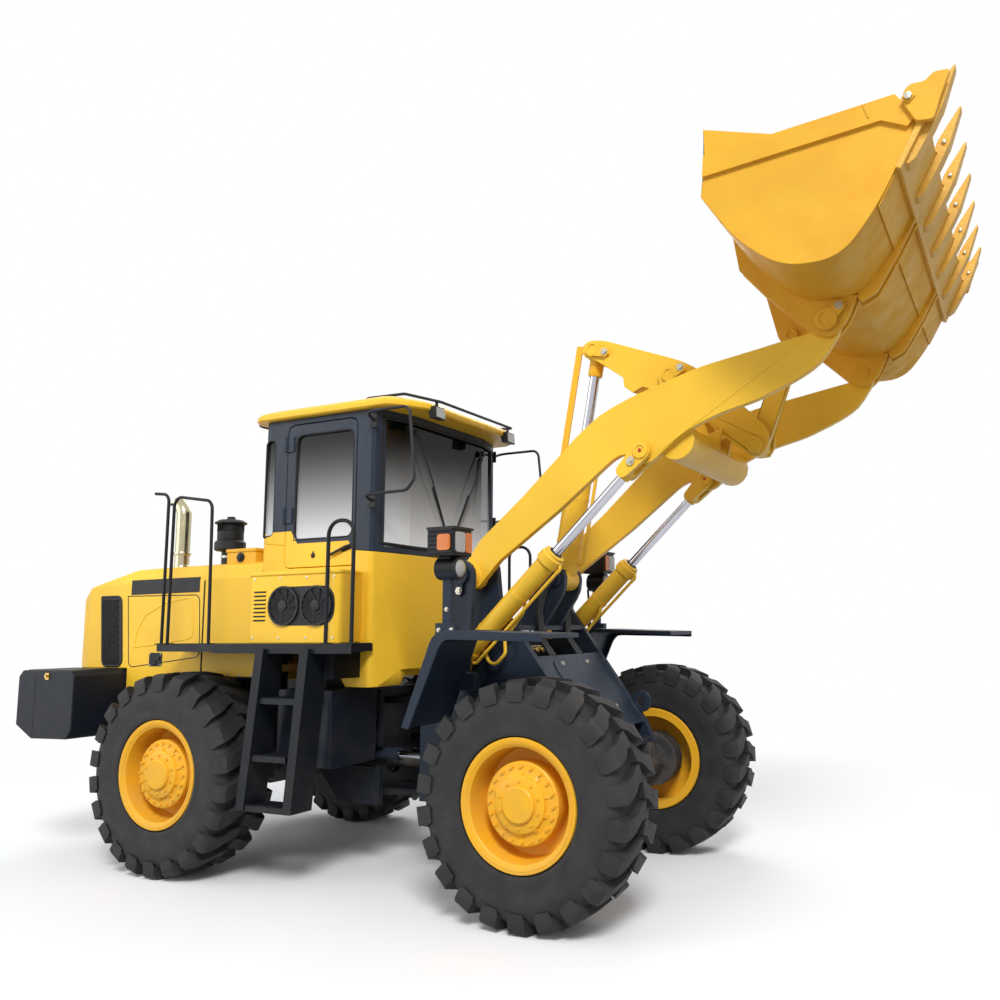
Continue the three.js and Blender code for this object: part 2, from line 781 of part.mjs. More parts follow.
// A door: a frame around its window, hinged along its rear edge.
const doorGap = 5;
function doorPanel(bottom) {
  const edge = { rear: door.rear + doorGap, front: door.front - doorGap, top: door.top - doorGap };
  const low = bottom + doorGap;
  const yOut = body.half;
  const yIn = body.half - door.thick;
  const windowLow = 2225;
  const panel = sideSlab(
    [
      [edge.rear, low, 36],
      [edge.rear, edge.top, 56],
      [edge.front, edge.top, 56],
      [edge.front, low, 36],
    ],
    yIn,
    yOut,
  );
  const opening = sideSlab(
    [
      [edge.rear + door.frame, windowLow, 60],
      [edge.rear + door.frame, edge.top - door.frame, 50],
      [edge.front - 25, edge.top - door.frame, 50],
      [edge.front - 25, windowLow, 60],
    ],
    yIn - 20,
    yOut + 20,
  );
  const pane = sideSlab(
    [
      [edge.rear + door.frame + seatGap, windowLow + seatGap, 60],
      [edge.rear + door.frame + seatGap, edge.top - door.frame - seatGap, 50],
      [edge.front - 25 - seatGap, edge.top - door.frame - seatGap, 50],
      [edge.front - 25 - seatGap, windowLow + seatGap, 60],
    ],
    yIn + 16,
    yIn + 16 + glass.thick,
  );
  const hinges = [windowLow + 120, edge.top - 190].map((z) =>
    join(
      pinZ([door.rear, yOut + 14], 13, z, z + 110, 12),
      box(door.rear, edge.rear + 60, yOut - 5, yOut + 12, z, z + 110),
    ),
  );
  return { panel: join(cut(panel, opening), hinges), pane };
}
for (const [name, side, bottom] of [["right", -1, door.rightBottom], ["left", 1, door.leftBottom]]) {
  const { panel, pane } = doorPanel(bottom);
  add(`${name}_door`, onSide(side, panel), slate);
  add(`${name}_door_glass`, onSide(side, pane), tinted);
}

const seatAt = { x: -560, z: cab.floor + 45 + seatGap };
add(
  "operator_seat",
  join(
    box(seatAt.x - 200, seatAt.x + 200, -190, 190, seatAt.z, seatAt.z + 330),
    box(seatAt.x - 250, seatAt.x + 260, -250, 250, seatAt.z + 320, seatAt.z + 460),
    sideSlab(
      [
        [seatAt.x - 250, seatAt.z + 400],
        [seatAt.x - 330, seatAt.z + 1050, 60],
        [seatAt.x - 230, seatAt.z + 1060, 60],
        [seatAt.x - 130, seatAt.z + 430],
      ],
      -240,
      240,
    ),
  ),
  black,
);
add(
  "steering_column",
  join(
    box(-140, 20, -150, 150, cab.floor + 45 + seatGap, 2020),
    bar([-80, 0, 1990], [-190, 0, 2230], 30, 12),
    cut(
      bar([-180, 0, 2210], [-192, 0, 2236], 195, 14),
      bar([-160, 0, 2166], [-212, 0, 2280], 168, 14),
    ),
    bar([-186, -185, 2223], [-186, 185, 2223], 11, 4),
  ),
  black,
);

// Condenser box of the air conditioning, on the right platform.
const condenser = { rear: -745, front: 20, outer: 1030, bottom: platform.top + seatGap, top: 1985 };
add(
  "condenser_box",
  planSlab(
    [
      [condenser.rear, -body.half - seatGap],
      [condenser.rear, -condenser.outer, 15],
      [condenser.front, -condenser.outer, 40],
      [condenser.front - 60, -body.half - seatGap],
    ],
    condenser.bottom,
    condenser.top,
  ),
  yellow,
);

// Platform, ladder and handrails of one side, drawn on the right.
const stepBars = [
  { z: 505, y: 1140, x: [-640, -240] },
  { z: 810, y: 1135, x: [-620, -270] },
  { z: 1165, y: 1130, x: [-545, -215] },
];
function sidePlatform() {
  const plan = [
    [platform.rear, -hood.half - 2],
    [platform.rear, -1010],
    [-1100, -1045],
    [-960, -platform.outer, 40],
    [platform.front, -platform.outer, 20],
    [platform.front, -1010],
    [60, -905],
    [60, -body.half - 2],
    [-970, -body.half - 2],
    [-970, -hood.half - 2],
  ];
  const deck = planSlab(plan, platform.top - platform.thick, platform.top);
  const railTubes = join(
    tube(
      [
        [platform.rear + 20, -990, platform.top - 20],
        [platform.rear + 20, -990, 2585],
        [platform.rear - 120, -990, 2600],
      ],
      15,
    ),
    tube(
      [
        [platform.rear + 85, -995, platform.top - 20],
        [platform.rear + 85, -995, 2565],
        [-1130, -1030, 2500],
        [-1100, -1035, platform.top - 20],
      ],
      15,
      70,
    ),
    box(platform.rear + 10, platform.rear + 95, -1000, -984, 2500, 2520),
    tube(
      [
        [-22, -1100, platform.top - 20],
        [-22, -1100, 2285],
        [180, -1100, 2285],
        [180, -1100, platform.top - 20],
      ],
      17,
      90,
    ),
  );
  const ladderSides = [
    [[-640, 490], [-520, platform.top - 30]],
    [[-250, 490], [-150, platform.top - 30]],
  ].map(([[x0, z0], [x1, z1]]) =>
    sideSlab([[x0 - 22, z0], [x1 - 22, z1], [x1 + 22, z1], [x0 + 22, z0]], -1148, -1108),
  );
  const treads = stepBars.map(({ z, y, x }) => box(x[0], x[1], -y, -y + 190, z - 18, z + 18));
  const inner = [
    [[-610, 490], [-520, platform.top - 30]],
    [[-262, 490], [-150, platform.top - 30]],
  ].map(([[x0, z0], [x1, z1]]) =>
    sideSlab([[x0 - 18, z0], [x1 - 18, z1], [x1 + 18, z1], [x0 + 18, z0]], -980, -960),
  );
  const brackets = join(
    box(-120, -40, -1000, -640, 1300 + seatGap, platform.top - 20),
    box(-700, -620, -1000, -body.half - 2, 1400, platform.top - 20),
  );
  return join(deck, railTubes, ladderSides, treads, inner, brackets);
}
const platformRight = cut(sidePlatform(), box(-700, 60, -body.half, 0, 900, 1600));
add("right_platform", platformRight, slate);
add("left_platform", mirrorSolid(platformRight), slate);

// ---------------------------------------------------------------- front chassis
const innerY = [tower.inner, tower.inner + tower.innerThick];
const frontHitchWall = 300;
const frontLow = axleZ - 165;
// The sloping front edge of the tower, with the closing plate set in behind it.
const slope = { top: [870, 1763], low: [1470, 957], plateTop: 1430, thick: 28, inset: 15 };
const slopeRun = (slope.low[0] - slope.top[0]) / (slope.top[1] - slope.low[1]);
const slopeX = (z) => slope.low[0] - slope.inset + (slope.low[1] - z) * slopeRun;
const closingPlate = sideSlab(
  [
    [slopeX(slope.plateTop), slope.plateTop],
    [slopeX(slope.low[1]), slope.low[1]],
    [slopeX(slope.low[1]) - slope.thick, slope.low[1] - 17],
    [slopeX(slope.plateTop) - slope.thick, slope.plateTop - 17],
  ],
  -innerY[0] - 5,
  innerY[0] + 5,
);
const innerPlate = sideSlab(
  [
    [frontHitchWall - 40, frontLow],
    [frontHitchWall - 40, 1130],
    [540, 1240, 60],
    [600, pivotA[1] - 40],
    [pivotA[0] - 70, pivotA[1] + 80, 70],
    [pivotA[0] + 140, pivotA[1] + 110, 60],
    [...slope.top, 60],
    slope.low,
    [frontAxleX + 145, tower.bottom],
    [560, tower.bottom],
    [440, frontLow],
  ],
  ...innerY,
);
const outerPlate = join(
  sideSlab(linkOutline(pivotA, 98, [pivotC[0] + 60, pivotC[1] - 60], 98), tower.outer - 34, tower.outer, 4),
  pinY(pivotC, 64, tower.outer - 34, tower.outer),
  sideSlab(
    [
      [530, 1000],
      [530, 1340],
      [820, 1340],
      [860, 1000],
    ],
    tower.outer - 34,
    tower.outer,
  ),
);
const shelf = box(530, 860, innerY[0], tower.outer, 1000, 1040);
const topBoss = (at, radius, pin) =>
  join(
    pinY(at, radius, innerY[1] - 5, armY - hubHalf - hingeGap, 16),
    pinY(at, radius, armY + hubHalf + hingeGap, tower.outer - 20, 16),
    pinY(at, pin, innerY[1] - 5, tower.outer + 10, 16),
  );
const towerSide = join(
  innerPlate,
  outerPlate,
  shelf,
  topBoss(pivotA, 90, 45),
  topBoss(pivotC, 60, lift.pin),
);
const tiltEarY = [90, 130];
const deck = { rear: 740, front: slopeX(1590), top: 1625, thick: 35 }; // under the tilt cylinder
const towerTop = sideSlab(
  [
    [deck.rear + 20, deck.top - 5],
    [pivotD[0] - 60, pivotD[1] + 75, 60],
    [pivotD[0] + 75, pivotD[1] + 75, 60],
    [pivotD[0] + 75, pivotD[1] - 75, 60],
    [deck.front, deck.top - 5],
  ],
  ...tiltEarY,
);
const towerCross = join(
  box(deck.rear, deck.front, -innerY[0] - 5, innerY[0] + 5, deck.top - deck.thick, deck.top),
  closingPlate,
  box(560, frontAxleX + 115, -innerY[0] - 5, innerY[0] + 5, tower.bottom, tower.bottom + 40),
  box(560, 600, -innerY[0] - 5, innerY[0] + 5, tower.bottom, 1500),
  frontSlab(
    [
      [-460, frontLow],
      [-460, 1125],
      [460, 1125],
      [460, frontLow],
    ],
    frontHitchWall - 40,
    frontHitchWall,
  ),
);
const frontLugs = join(
  hitchLug(lug.upper - lug.thick - hingeGap, -1, -frontHitchWall + 20),
  hitchLug(lug.lower + lug.thick + hingeGap, -1, -frontHitchWall + 20),
);
const lugBores = pinZ([0, 0], lug.pin + boreGap, lug.lower, lug.upper + 50, 16);
const shaftHole = bar([frontHitchWall - 60, 0, axleZ], [frontHitchWall + 20, 0, axleZ], 90, 16);
const eyePlan = linkOutline(steer.eye, 60, [frontHitchWall + 30, steer.eye[1]], 60);
const eyeReach = steer.half + openGap;
const steerEar = join(
  planSlab(eyePlan, steer.z + eyeReach, steer.z + eyeReach + 25),
  planSlab(eyePlan, steer.z - eyeReach - 25, steer.z - eyeReach),
);
const padTop = tower.bottom - seatGap;
const frontAxlePad = box(frontAxleX - 130, frontAxleX + 130, innerY[0] - 60, innerY[1], axleZ, padTop);
const diffWindow = box(frontAxleX - 225, frontAxleX + 225, -165, 165, 780, 900); // over the differential
const frontFrame = cut(
  join(
    towerSide,
    mirrorSolid(towerSide),
    onBothSides(towerTop),
    pinY(pivotD, tilt.pin, -tiltEarY[0] - 5, tiltEarY[0] + 5, 16),
    towerCross,
    frontLugs,
    onBothSides(steerEar),
  ),
  lugBores,
  shaftHole,
  diffWindow,
  steerWindow(frontHitchWall - 20, steer.half + 6),
);
add("front_frame", frontFrame, slate);
add(
  "front_axle",
  join(
    axleBody(frontAxleX),
    onBothSides(frontAxlePad),
    bar([40, 0, axleZ], [frontAxleX - 150, 0, axleZ], shaftRadius, 12),
  ),
  castIron,
);

// Front fender with its lamp bracket, drawn on the right.
const fender = { in: 745, out: track / 2 + 235 };
const lampAt = { x: [frontAxleX - 635, frontAxleX - 450], y: [-1125, -935], z: [2030, 2190] };
function fenderSide() {
  const over = [
    [frontAxleX - 745, 1050],
    [frontAxleX - 545, 1560, 60],
    [frontAxleX - 480, 1600, 40],
    [frontAxleX + 170, 1575],
    [frontAxleX + 168, 1548],
    [frontAxleX - 470, 1574, 40],
    [frontAxleX - 519, 1548, 50],
    [frontAxleX - 721, 1045],
  ];
  const arch = sideSlab(over, -fender.out, -fender.in);
  const lip = sideSlab(
    [
      [frontAxleX - 745, 1050],
      [frontAxleX - 545, 1560, 60],
      [frontAxleX - 480, 1600, 40],
      [frontAxleX + 170, 1575],
      [frontAxleX + 168, 1530],
      [frontAxleX - 455, 1545, 60],
      [frontAxleX - 495, 1500, 60],
      [frontAxleX - 695, 1040],
    ],
    -fender.out,
    -fender.out + 20,
  );
  const stay = box(740, frontAxleX - 535, -fender.in - 20, -tower.outer - seatGap, 1230, 1330);
  const post = frontAxleX - 555;
  const bracket = join(
    box(post - 30, post + 30, -1035, -1005, 1570, 2000),
    box(post - 70, post + 70, -1050, -990, 1560, 1640),
  );
  const lamp = join(
    box(...lampAt.x, ...lampAt.y, ...lampAt.z),
    bar([lampAt.x[0] + 20, -1020, 1960], [lampAt.x[1] - 30, -1020, 1960], 68, 16),
    box(post - 40, post + 40, -1060, -980, 1950, lampAt.z[0] + 10),
  );
  return join(arch, lip, stay, bracket, lamp);
}
const rightFender = fenderSide();
add("right_front_fender", rightFender, slate);
add("left_front_fender", mirrorSolid(rightFender), slate);

// ---------------------------------------------------------------- loading arms
const armYs = [armY - armThick / 2, armY + armThick / 2];
const armOutline = [
  [pivotA[0] - 20, pivotA[1] + 88, 10],
  [790, 2170],
  [1109, 2435],
  [1478, 2770, 60],
  [1636, 2891, 80],
  [1837, 2974, 80],
  [2284, 3106, 80],
  [2640, 3163, 60],
  [2956, 3215],
  [pivotB[0] - 40, pivotB[1] + 76, 20],
  [pivotB[0] + 60, pivotB[1] + 60, 30],
  [pivotB[0] + 75, pivotB[1] - 50, 40],
  [2990, 3040, 60],
  [2864, 2965, 60],
  [2634, 2872, 60],
  [2397, 2815, 60],
  [2214, 2745, 60],
  [2060, 2640, 60],
  [1970, 2562, 50],
  [1880, 2562, 50],
  [1810, 2640, 40],
  [1720, 2605, 50],
  [1357, 2324],
  [928, 2027],
  [pivotA[0] + 60, pivotA[1] - 88, 30],
  [pivotA[0] - 60, pivotA[1] - 70, 50],
  [pivotA[0] - 92, pivotA[1] + 20, 50],
];
const bellEarIn = bellPlate.inner + bellPlate.thick + 5 + hingeGap;
const bellEarY = [bellEarIn, bellEarIn + 30];
const armSide = cut(
  join(
    sideSlab(armOutline, ...armYs),
    pinY(pivotA, 88, armY - hubHalf, armY + hubHalf, 16),
    pinY(pivotB, 78, ...armYs, 16),
  ),
  pinY(pivotA, 45 + boreGap, 300, 900, 16),
  pinY(pivotB, 40 + boreGap, 300, 900, 16),
);
const bellEar = sideSlab(
  linkOutline(pivotP, 80, [crossTube.at[0] - 30, crossTube.at[1] + 20], 120),
  ...bellEarY,
  4,
);
const bellGusset = sideSlab(
  [
    [crossTube.at[0] - 110, crossTube.at[1] + 60],
    [crossTube.at[0] + 150, crossTube.at[1] + 150],
    [crossTube.at[0] + 110, crossTube.at[1] - 10],
  ],
  ...bellEarY,
);
add(
  "lift_arms",
  join(
    onBothSides(armSide),
    pinY(crossTube.at, crossTube.radius, -armYs[0] - 5, armYs[0] + 5, 16),
    onBothSides(join(bellEar, bellGusset)),
    pinY(pivotP, 36, -bellEarY[0] - 5, bellEarY[0] + 5, 16),
  ),
  yellow,
);

const bellSide = [
  [pivotT[0] - 30, pivotT[1] + 70, 40],
  [pivotT[0] + 80, pivotT[1] + 55, 40],
  [1980, 3325, 60],
  [2110, 3245, 60],
  [2560, 2800, 70],
  [pivotQ[0] + 60, pivotQ[1] - 75, 70],
  [pivotQ[0] - 75, pivotQ[1] - 40, 70],
  [2060, 2975],
  [1850, 3120, 80],
  [1710, 3184, 10],
  [1640, 3150, 8],
  [1575, 3200, 8],
  [1570, 3262, 10],
  [pivotT[0] + 30, pivotT[1] - 85, 40],
  [pivotT[0] - 80, pivotT[1] - 40, 60],
  [pivotT[0] - 80, pivotT[1] + 40, 60],
];
const bellHalf = bellPlate.inner + bellPlate.thick;
const bellPlates = onBothSides(sideSlab(bellSide, bellPlate.inner, bellHalf));
add(
  "bellcrank",
  cut(
    join(
      bellPlates,
      pinY(pivotP, 84, -bellEarY[0] + hingeGap, bellEarY[0] - hingeGap, 16),
      pinY(pivotQ, 52, bellHalf - 3, bellHalf + 14, 16),
      pinY(pivotQ, 52, -bellHalf - 14, -bellHalf + 3, 16),
      pinY(pivotT, 52, bellHalf - 3, bellHalf + 14, 16),
      pinY(pivotT, 52, -bellHalf - 14, -bellHalf + 3, 16),
      box(2000, 2060, -bellPlate.inner - 5, bellPlate.inner + 5, 3060, 3170),
    ),
    pinY(pivotP, 36 + boreGap, -200, 200, 16),
  ),
  yellow,
);
const centreEarIn = 60.5;
const linkOpenHalf = bellPlate.inner - openGap + 2;
add(
  "tilt_link",
  cut(
    join(
      sideSlab(linkOutline(pivotQ, 62, pivotR, 58), -28, 28, 4),
      pinY(pivotQ, 66, -linkOpenHalf, linkOpenHalf),
      pinY(pivotR, 62, -centreEarIn + hingeGap, centreEarIn - hingeGap),
    ),
    pinY(pivotR, 34 + boreGap, -200, 200),
  ),
  yellow,
);

// ---------------------------------------------------------------- bucket
// Its section: mouth on top, floor rising to the cutting edge in front.
const edgeTip = [3605, 3957];
const floorAngle = Math.atan2(367, 205);
const outerSection = (inset) => [
  [edgeTip[0] - inset * 1.2, edgeTip[1] + inset * 0.5],
  [3392 - inset * 0.9, 3575 + inset * 0.6, 120],
  [3215 - inset * 0.4, 3362 + inset, 150],
  [2930 + inset * 0.2, 3368 + inset, 150],
  [2700 + inset * 0.8, 3555 + inset * 0.5, 120],
  [2519 + inset * 1.15, 3826 + inset * 0.4],
  [2541 + inset * 1.05, 4200],
];
const shellBand = sideSlab(
  [...outerSection(0), ...outerSection(bucket.shell).reverse()],
  -bucket.half + bucket.side + bucket.strap,
  bucket.half - bucket.side - bucket.strap,
  6,
);
const sideOuter = bucket.half - bucket.strap;
const sidePlate = sideSlab(
  [...outerSection(0).slice(0, 6), [2543, 4042], [3510, 4123], [3580, 4060]],
  sideOuter - bucket.side,
  sideOuter,
  6,
);
const strapPlate = sideSlab(
  [
    [2534, 3926],
    [2543, 4042],
    [3510, 4123],
    [3600, 3990],
    [3560, 3945],
    [3440, 4005],
  ],
  sideOuter - 2,
  bucket.half,
);
const spillWing = sideSlab(
  [
    [2541, 4200],
    [2543, 4040],
    [2935, 4073],
  ],
  sideOuter - bucket.side,
  sideOuter,
);
const earYs = [
  [armYs[0] - hingeGap - bucket.ear, armYs[0] - hingeGap],
  [armYs[1] + hingeGap, armYs[1] + hingeGap + bucket.ear],
];
const earOutline = [
  [2519, 3826],
  [2549, 3630],
  [2701, 3449],
  [pivotB[0] - 60, pivotB[1] - 78, 30],
  [pivotB[0] + 20, pivotB[1] - 105, 60],
  [pivotB[0] + 105, pivotB[1] - 30, 60],
  [3200, 3375],
  [3000, 3385],
  [2760, 3520],
  [2560, 3800],
];
const centreEarY = [centreEarIn, centreEarIn + 32];
const centreEar = join(
  sideSlab(
    [
      [2540, 3800],
      [2565, 3636],
      [pivotR[0] - 78, pivotR[1] - 20, 30],
      [pivotR[0] - 10, pivotR[1] - 78, 50],
      [pivotR[0] + 80, pivotR[1] - 10, 40],
      [2880, 3400],
      [2860, 3450],
      [2720, 3560],
      [2570, 3790],
    ],
    ...centreEarY,
  ),
  pinY(pivotR, 42, centreEarY[1] - 2, centreEarY[1] + 12, 16),
);
const bucketBody = join(
  shellBand,
  onBothSides(join(sidePlate, strapPlate, spillWing)),
  onBothSides(join(earYs.map((ys) => sideSlab(earOutline, ...ys)))),
  onBothSides(pinY(pivotB, 40, earYs[0][0] - 12, earYs[1][1] + 12, 16)),
  onBothSides(centreEar),
  pinY(pivotR, 34, -centreEarIn - 5, centreEarIn + 5),
);
add("bucket", bucketBody, yellow);

// Cutting edge under the floor's lip, with its teeth.
const along = [Math.cos(floorAngle), Math.sin(floorAngle)];
const below = [Math.sin(floorAngle), -Math.cos(floorAngle)];
const edgePoint = (forward, down) => [
  edgeTip[0] + along[0] * forward + below[0] * down,
  edgeTip[1] + along[1] * forward + below[1] * down,
];
const edgePlate = sideSlab(
  [
    edgePoint(-230, seatGap),
    edgePoint(60, seatGap),
    edgePoint(45, bucket.edge),
    edgePoint(-230, bucket.edge),
  ],
  -bucket.half,
  bucket.half,
);
const toothSpan = bucket.half - 75;
const teeth = Array.from({ length: bucket.teeth }, (_, i) => {
  const y = -toothSpan + (2 * toothSpan * i) / (bucket.teeth - 1);
  const shank = sideSlab(
    [
      edgePoint(-190, bucket.edge - 2),
      edgePoint(-150, 62),
      edgePoint(90, 66),
      edgePoint(90, 6),
      edgePoint(50, 2),
    ],
    y - 42,
    y + 42,
  );
  const point = sideSlab(
    [edgePoint(85, 64), edgePoint(bucket.tooth, 30), edgePoint(bucket.tooth, 20), edgePoint(85, 8)],
    y - 36,
    y + 36,
  );
  return join(shank, point);
});
add("cutting_edge", join(edgePlate, teeth), orangeYellow);

// ---------------------------------------------------------------- cylinders
// A cylinder in the vertical plane at height y: barrel from its base pin, rod to its eye.
function cylinderParts(from, to, size, y) {
  const run = Math.hypot(to[0] - from[0], to[1] - from[1]);
  const unit = [(to[0] - from[0]) / run, (to[1] - from[1]) / run];
  const at = (distance, offset = y) => [from[0] + unit[0] * distance, offset, from[1] + unit[1] * distance];
  const bore = size.rod + 0.7;
  const barrel = cut(
    join(
      bar(at(0), at(size.barrelLength), size.barrel, 16),
      bar(at(size.barrelLength - 2), at(size.barrelLength + size.headLength), size.head, 16),
      pinY(from, size.eye, y - size.half, y + size.half, 16),
    ),
    pinY(from, size.pin + boreGap, y - 300, y + 300, 16),
    bar(at(120), at(run), bore, 16),
    bar(at(130), at(size.barrelLength - 30), size.barrel - 12, 16),
  );
  const piston = bar(at(size.piston), at(size.piston + 60), size.barrel - 12 - seatGap * 2, 16);
  const rod = join(bar(at(size.piston + 5), at(run - size.rodEnd), size.rod, 16), piston);
  return { barrel, rod, at, run };
}
const liftParts = cylinderParts(pivotC, pivotK, { ...lift, half: hubHalf }, armY);
const clevisIn = armThick / 2 + openGap;
const clevisOut = clevisIn + 38;
const liftAt = (back) => [liftParts.at(liftParts.run - back)[0], liftParts.at(liftParts.run - back)[2]];
const clevisEar = (inner, outer) =>
  sideSlab(linkOutline(pivotK, lift.clevis, liftAt(lift.rodEnd), 42), armY + inner, armY + outer, 4);
const liftRod = join(
  liftParts.rod,
  clevisEar(clevisIn, clevisOut),
  clevisEar(-clevisOut, -clevisIn),
  pinY(pivotK, 48, armY + clevisOut - 2, armY + clevisOut + 12),
  pinY(pivotK, 48, armY - clevisOut - 12, armY - clevisOut + 2),
  pinY(liftAt(lift.rodEnd), 40, armY - clevisOut, armY + clevisOut),
);
for (const [name, side] of [["left", 1], ["right", -1]]) {
  add(`${name}_lift_barrel`, onSide(side, liftParts.barrel), yellow);
  add(`${name}_lift_rod`, onSide(side, liftRod), chrome);
}

const tiltSize = { ...tilt, half: tiltEarY[0] - hingeGap };
const tiltParts = cylinderParts(pivotD, pivotT, tiltSize, 0);
const tiltEye = pinY(pivotT, tilt.eye, -tilt.half, tilt.half, 16);
// The flat bar beside the rod that trips the bucket's levelling switch.
const besideRod = (back, aside) => {
  const [x, , z] = tiltParts.at(tiltParts.run - back);
  const [ux, , uz] = tiltParts.at(1).map((value, i) => value - tiltParts.at(0)[i]);
  return [x - uz * aside, z + ux * aside];
};
const levelBar = join(
  sideSlab([besideRod(-30, 108), besideRod(-30, 152), besideRod(880, 152), besideRod(880, 108)], -44, -30),
  sideSlab([besideRod(-22, 20), besideRod(-22, 130), besideRod(22, 130), besideRod(22, 20)], -44, -30),
);
add("tilt_barrel", tiltParts.barrel, yellow);
add("tilt_rod", join(tiltParts.rod, tiltEye, levelBar), chrome);

// Steering cylinders lie flat, one each side of the articulation pin.
function steeringParts() {
  const [x0, y0] = steer.base;
  const [x1, y1] = steer.eye;
  const run = Math.hypot(x1 - x0, y1 - y0);
  const at = (distance) => [x0 + ((x1 - x0) * distance) / run, y0 + ((y1 - y0) * distance) / run, steer.z];
  const barrel = cut(
    join(
      bar(at(75), at(steer.barrelLength), steer.barrel, 16),
      bar(at(45), at(80), steer.half, 16),
      pinZ([x0, y0], 52, steer.z - steer.half, steer.z + steer.half, 16),
    ),
    pinZ([x0, y0], steer.pin + boreGap, steer.z - 100, steer.z + 100, 16),
    bar(at(90), at(run), steer.rod + 0.7, 16),
  );
  const rod = join(
    bar(at(300), at(run - 40), steer.rod, 16),
    pinZ([x1, y1], 52, steer.z - steer.half, steer.z + steer.half, 16),
  );
  return { barrel, rod };
}
const steering = steeringParts();
for (const [name, side] of [["left", 1], ["right", -1]]) {
  add(`${name}_steering_barrel`, onSide(side, steering.barrel), slate);
  add(`${name}_steering_rod`, onSide(side, steering.rod), chrome);
}

// ---------------------------------------------------------------- origin
// The part's origin is on the ground under the middle of its overall length.
const bounds = new THREE.Box3().setFromObject(machine);
machine.position.x = -(bounds.min.x + bounds.max.x) / 2;
const part = new THREE.Group();
part.add(machine);
export default part;
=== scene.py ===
import math

import bmesh
import bpy
from mathutils import Matrix, Vector


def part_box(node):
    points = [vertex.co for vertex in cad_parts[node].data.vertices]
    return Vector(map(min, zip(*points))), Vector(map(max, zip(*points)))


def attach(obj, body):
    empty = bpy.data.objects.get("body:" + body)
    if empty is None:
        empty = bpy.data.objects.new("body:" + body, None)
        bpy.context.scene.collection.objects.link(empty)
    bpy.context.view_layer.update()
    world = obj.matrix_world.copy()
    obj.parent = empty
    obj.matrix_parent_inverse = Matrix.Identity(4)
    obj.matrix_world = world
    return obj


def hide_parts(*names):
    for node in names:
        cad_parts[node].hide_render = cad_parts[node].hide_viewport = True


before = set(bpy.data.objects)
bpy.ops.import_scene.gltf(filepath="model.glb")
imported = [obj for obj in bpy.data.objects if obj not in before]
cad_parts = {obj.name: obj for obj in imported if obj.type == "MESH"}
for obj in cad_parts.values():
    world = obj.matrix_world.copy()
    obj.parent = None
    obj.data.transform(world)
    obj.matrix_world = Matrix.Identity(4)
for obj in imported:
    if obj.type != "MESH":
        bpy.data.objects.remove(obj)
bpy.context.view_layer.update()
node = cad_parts

# Positions are in metres: forwards from the steering pin, leftwards from the middle, up from the ground.
front_hub_low, front_hub_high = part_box("front_left_rim")
PIN_TO_FRONT_AXLE = 1.385
PIN_X = (front_hub_low.x + front_hub_high.x) / 2 - PIN_TO_FRONT_AXLE
RIGHT, LEFT = -1, 1


def at(x, y, z):
    """A point in the part's own frame from one measured on the machine."""
    return Vector((x + PIN_X, y, z))


def side_of(hand):
    return "left" if hand > 0 else "right"


# ------------------------------------------------------------------ camera, floor and light
YAW, PITCH, ROLL = 0.4427, 0.1353, -0.0101
CAMERA_PLACE = (3.9418, -5.5136, 1.5975)
SENSOR_MM, LENS_MM = 36, 32.727
SHIFT = (-0.0974, 0.005)
PAPER_SHADE, PAPER_SHOWN = 0.34, 0.92
FADE_START, FADE_END = 3.2, 8.0
SKY_COLOUR, SKY_STRENGTH = (0.93, 0.96, 1.0, 1), 0.56
FLOOR_HALF = 60
LAMPS = {
    "key": {"place": (8.5, -13.0, 14.5), "watts": 3150, "size": 5.5},
    "fill": {"place": (-8.0, -7.5, 4.5), "watts": 330, "size": 7.0},
    "back": {"place": (-3.0, 9.0, 9.0), "watts": 420, "size": 7.0},
}
LAMP_AIM = Vector((0.3, 0, 1.6))


def make_camera():
    ahead = Vector((-math.sin(YAW) * math.cos(PITCH), math.cos(YAW) * math.cos(PITCH), math.sin(PITCH)))
    level = Vector((math.cos(YAW), math.sin(YAW), 0))
    upright = level.cross(ahead)
    right = level * math.cos(ROLL) + upright * math.sin(ROLL)
    up = upright * math.cos(ROLL) - level * math.sin(ROLL)
    turn = Matrix((right, up, -ahead)).transposed().to_4x4()
    data = bpy.data.cameras.new("camera")
    camera = bpy.data.objects.new("camera", data)
    bpy.context.scene.collection.objects.link(camera)
    camera.matrix_world = Matrix.Translation(at(*CAMERA_PLACE)) @ turn
    data.sensor_width, data.lens = SENSOR_MM, LENS_MM
    data.shift_x, data.shift_y = SHIFT
    data.clip_end = 200
    bpy.context.scene.camera = camera


make_camera()
scene = bpy.context.scene
scene.view_settings.view_transform = "Standard"


def seen_directly(tree):
    """1 for what is seen straight on, through glass or in a reflection."""
    path = tree.nodes.new("ShaderNodeLightPath")
    seen = path.outputs["Is Camera Ray"]
    for ray in ("Is Glossy Ray", "Is Transmission Ray"):
        either = tree.nodes.new("ShaderNodeMath")
        either.operation = "MAXIMUM"
        tree.links.new(seen, either.inputs[0])
        tree.links.new(path.outputs[ray], either.inputs[1])
        seen = either.outputs[0]
    return seen


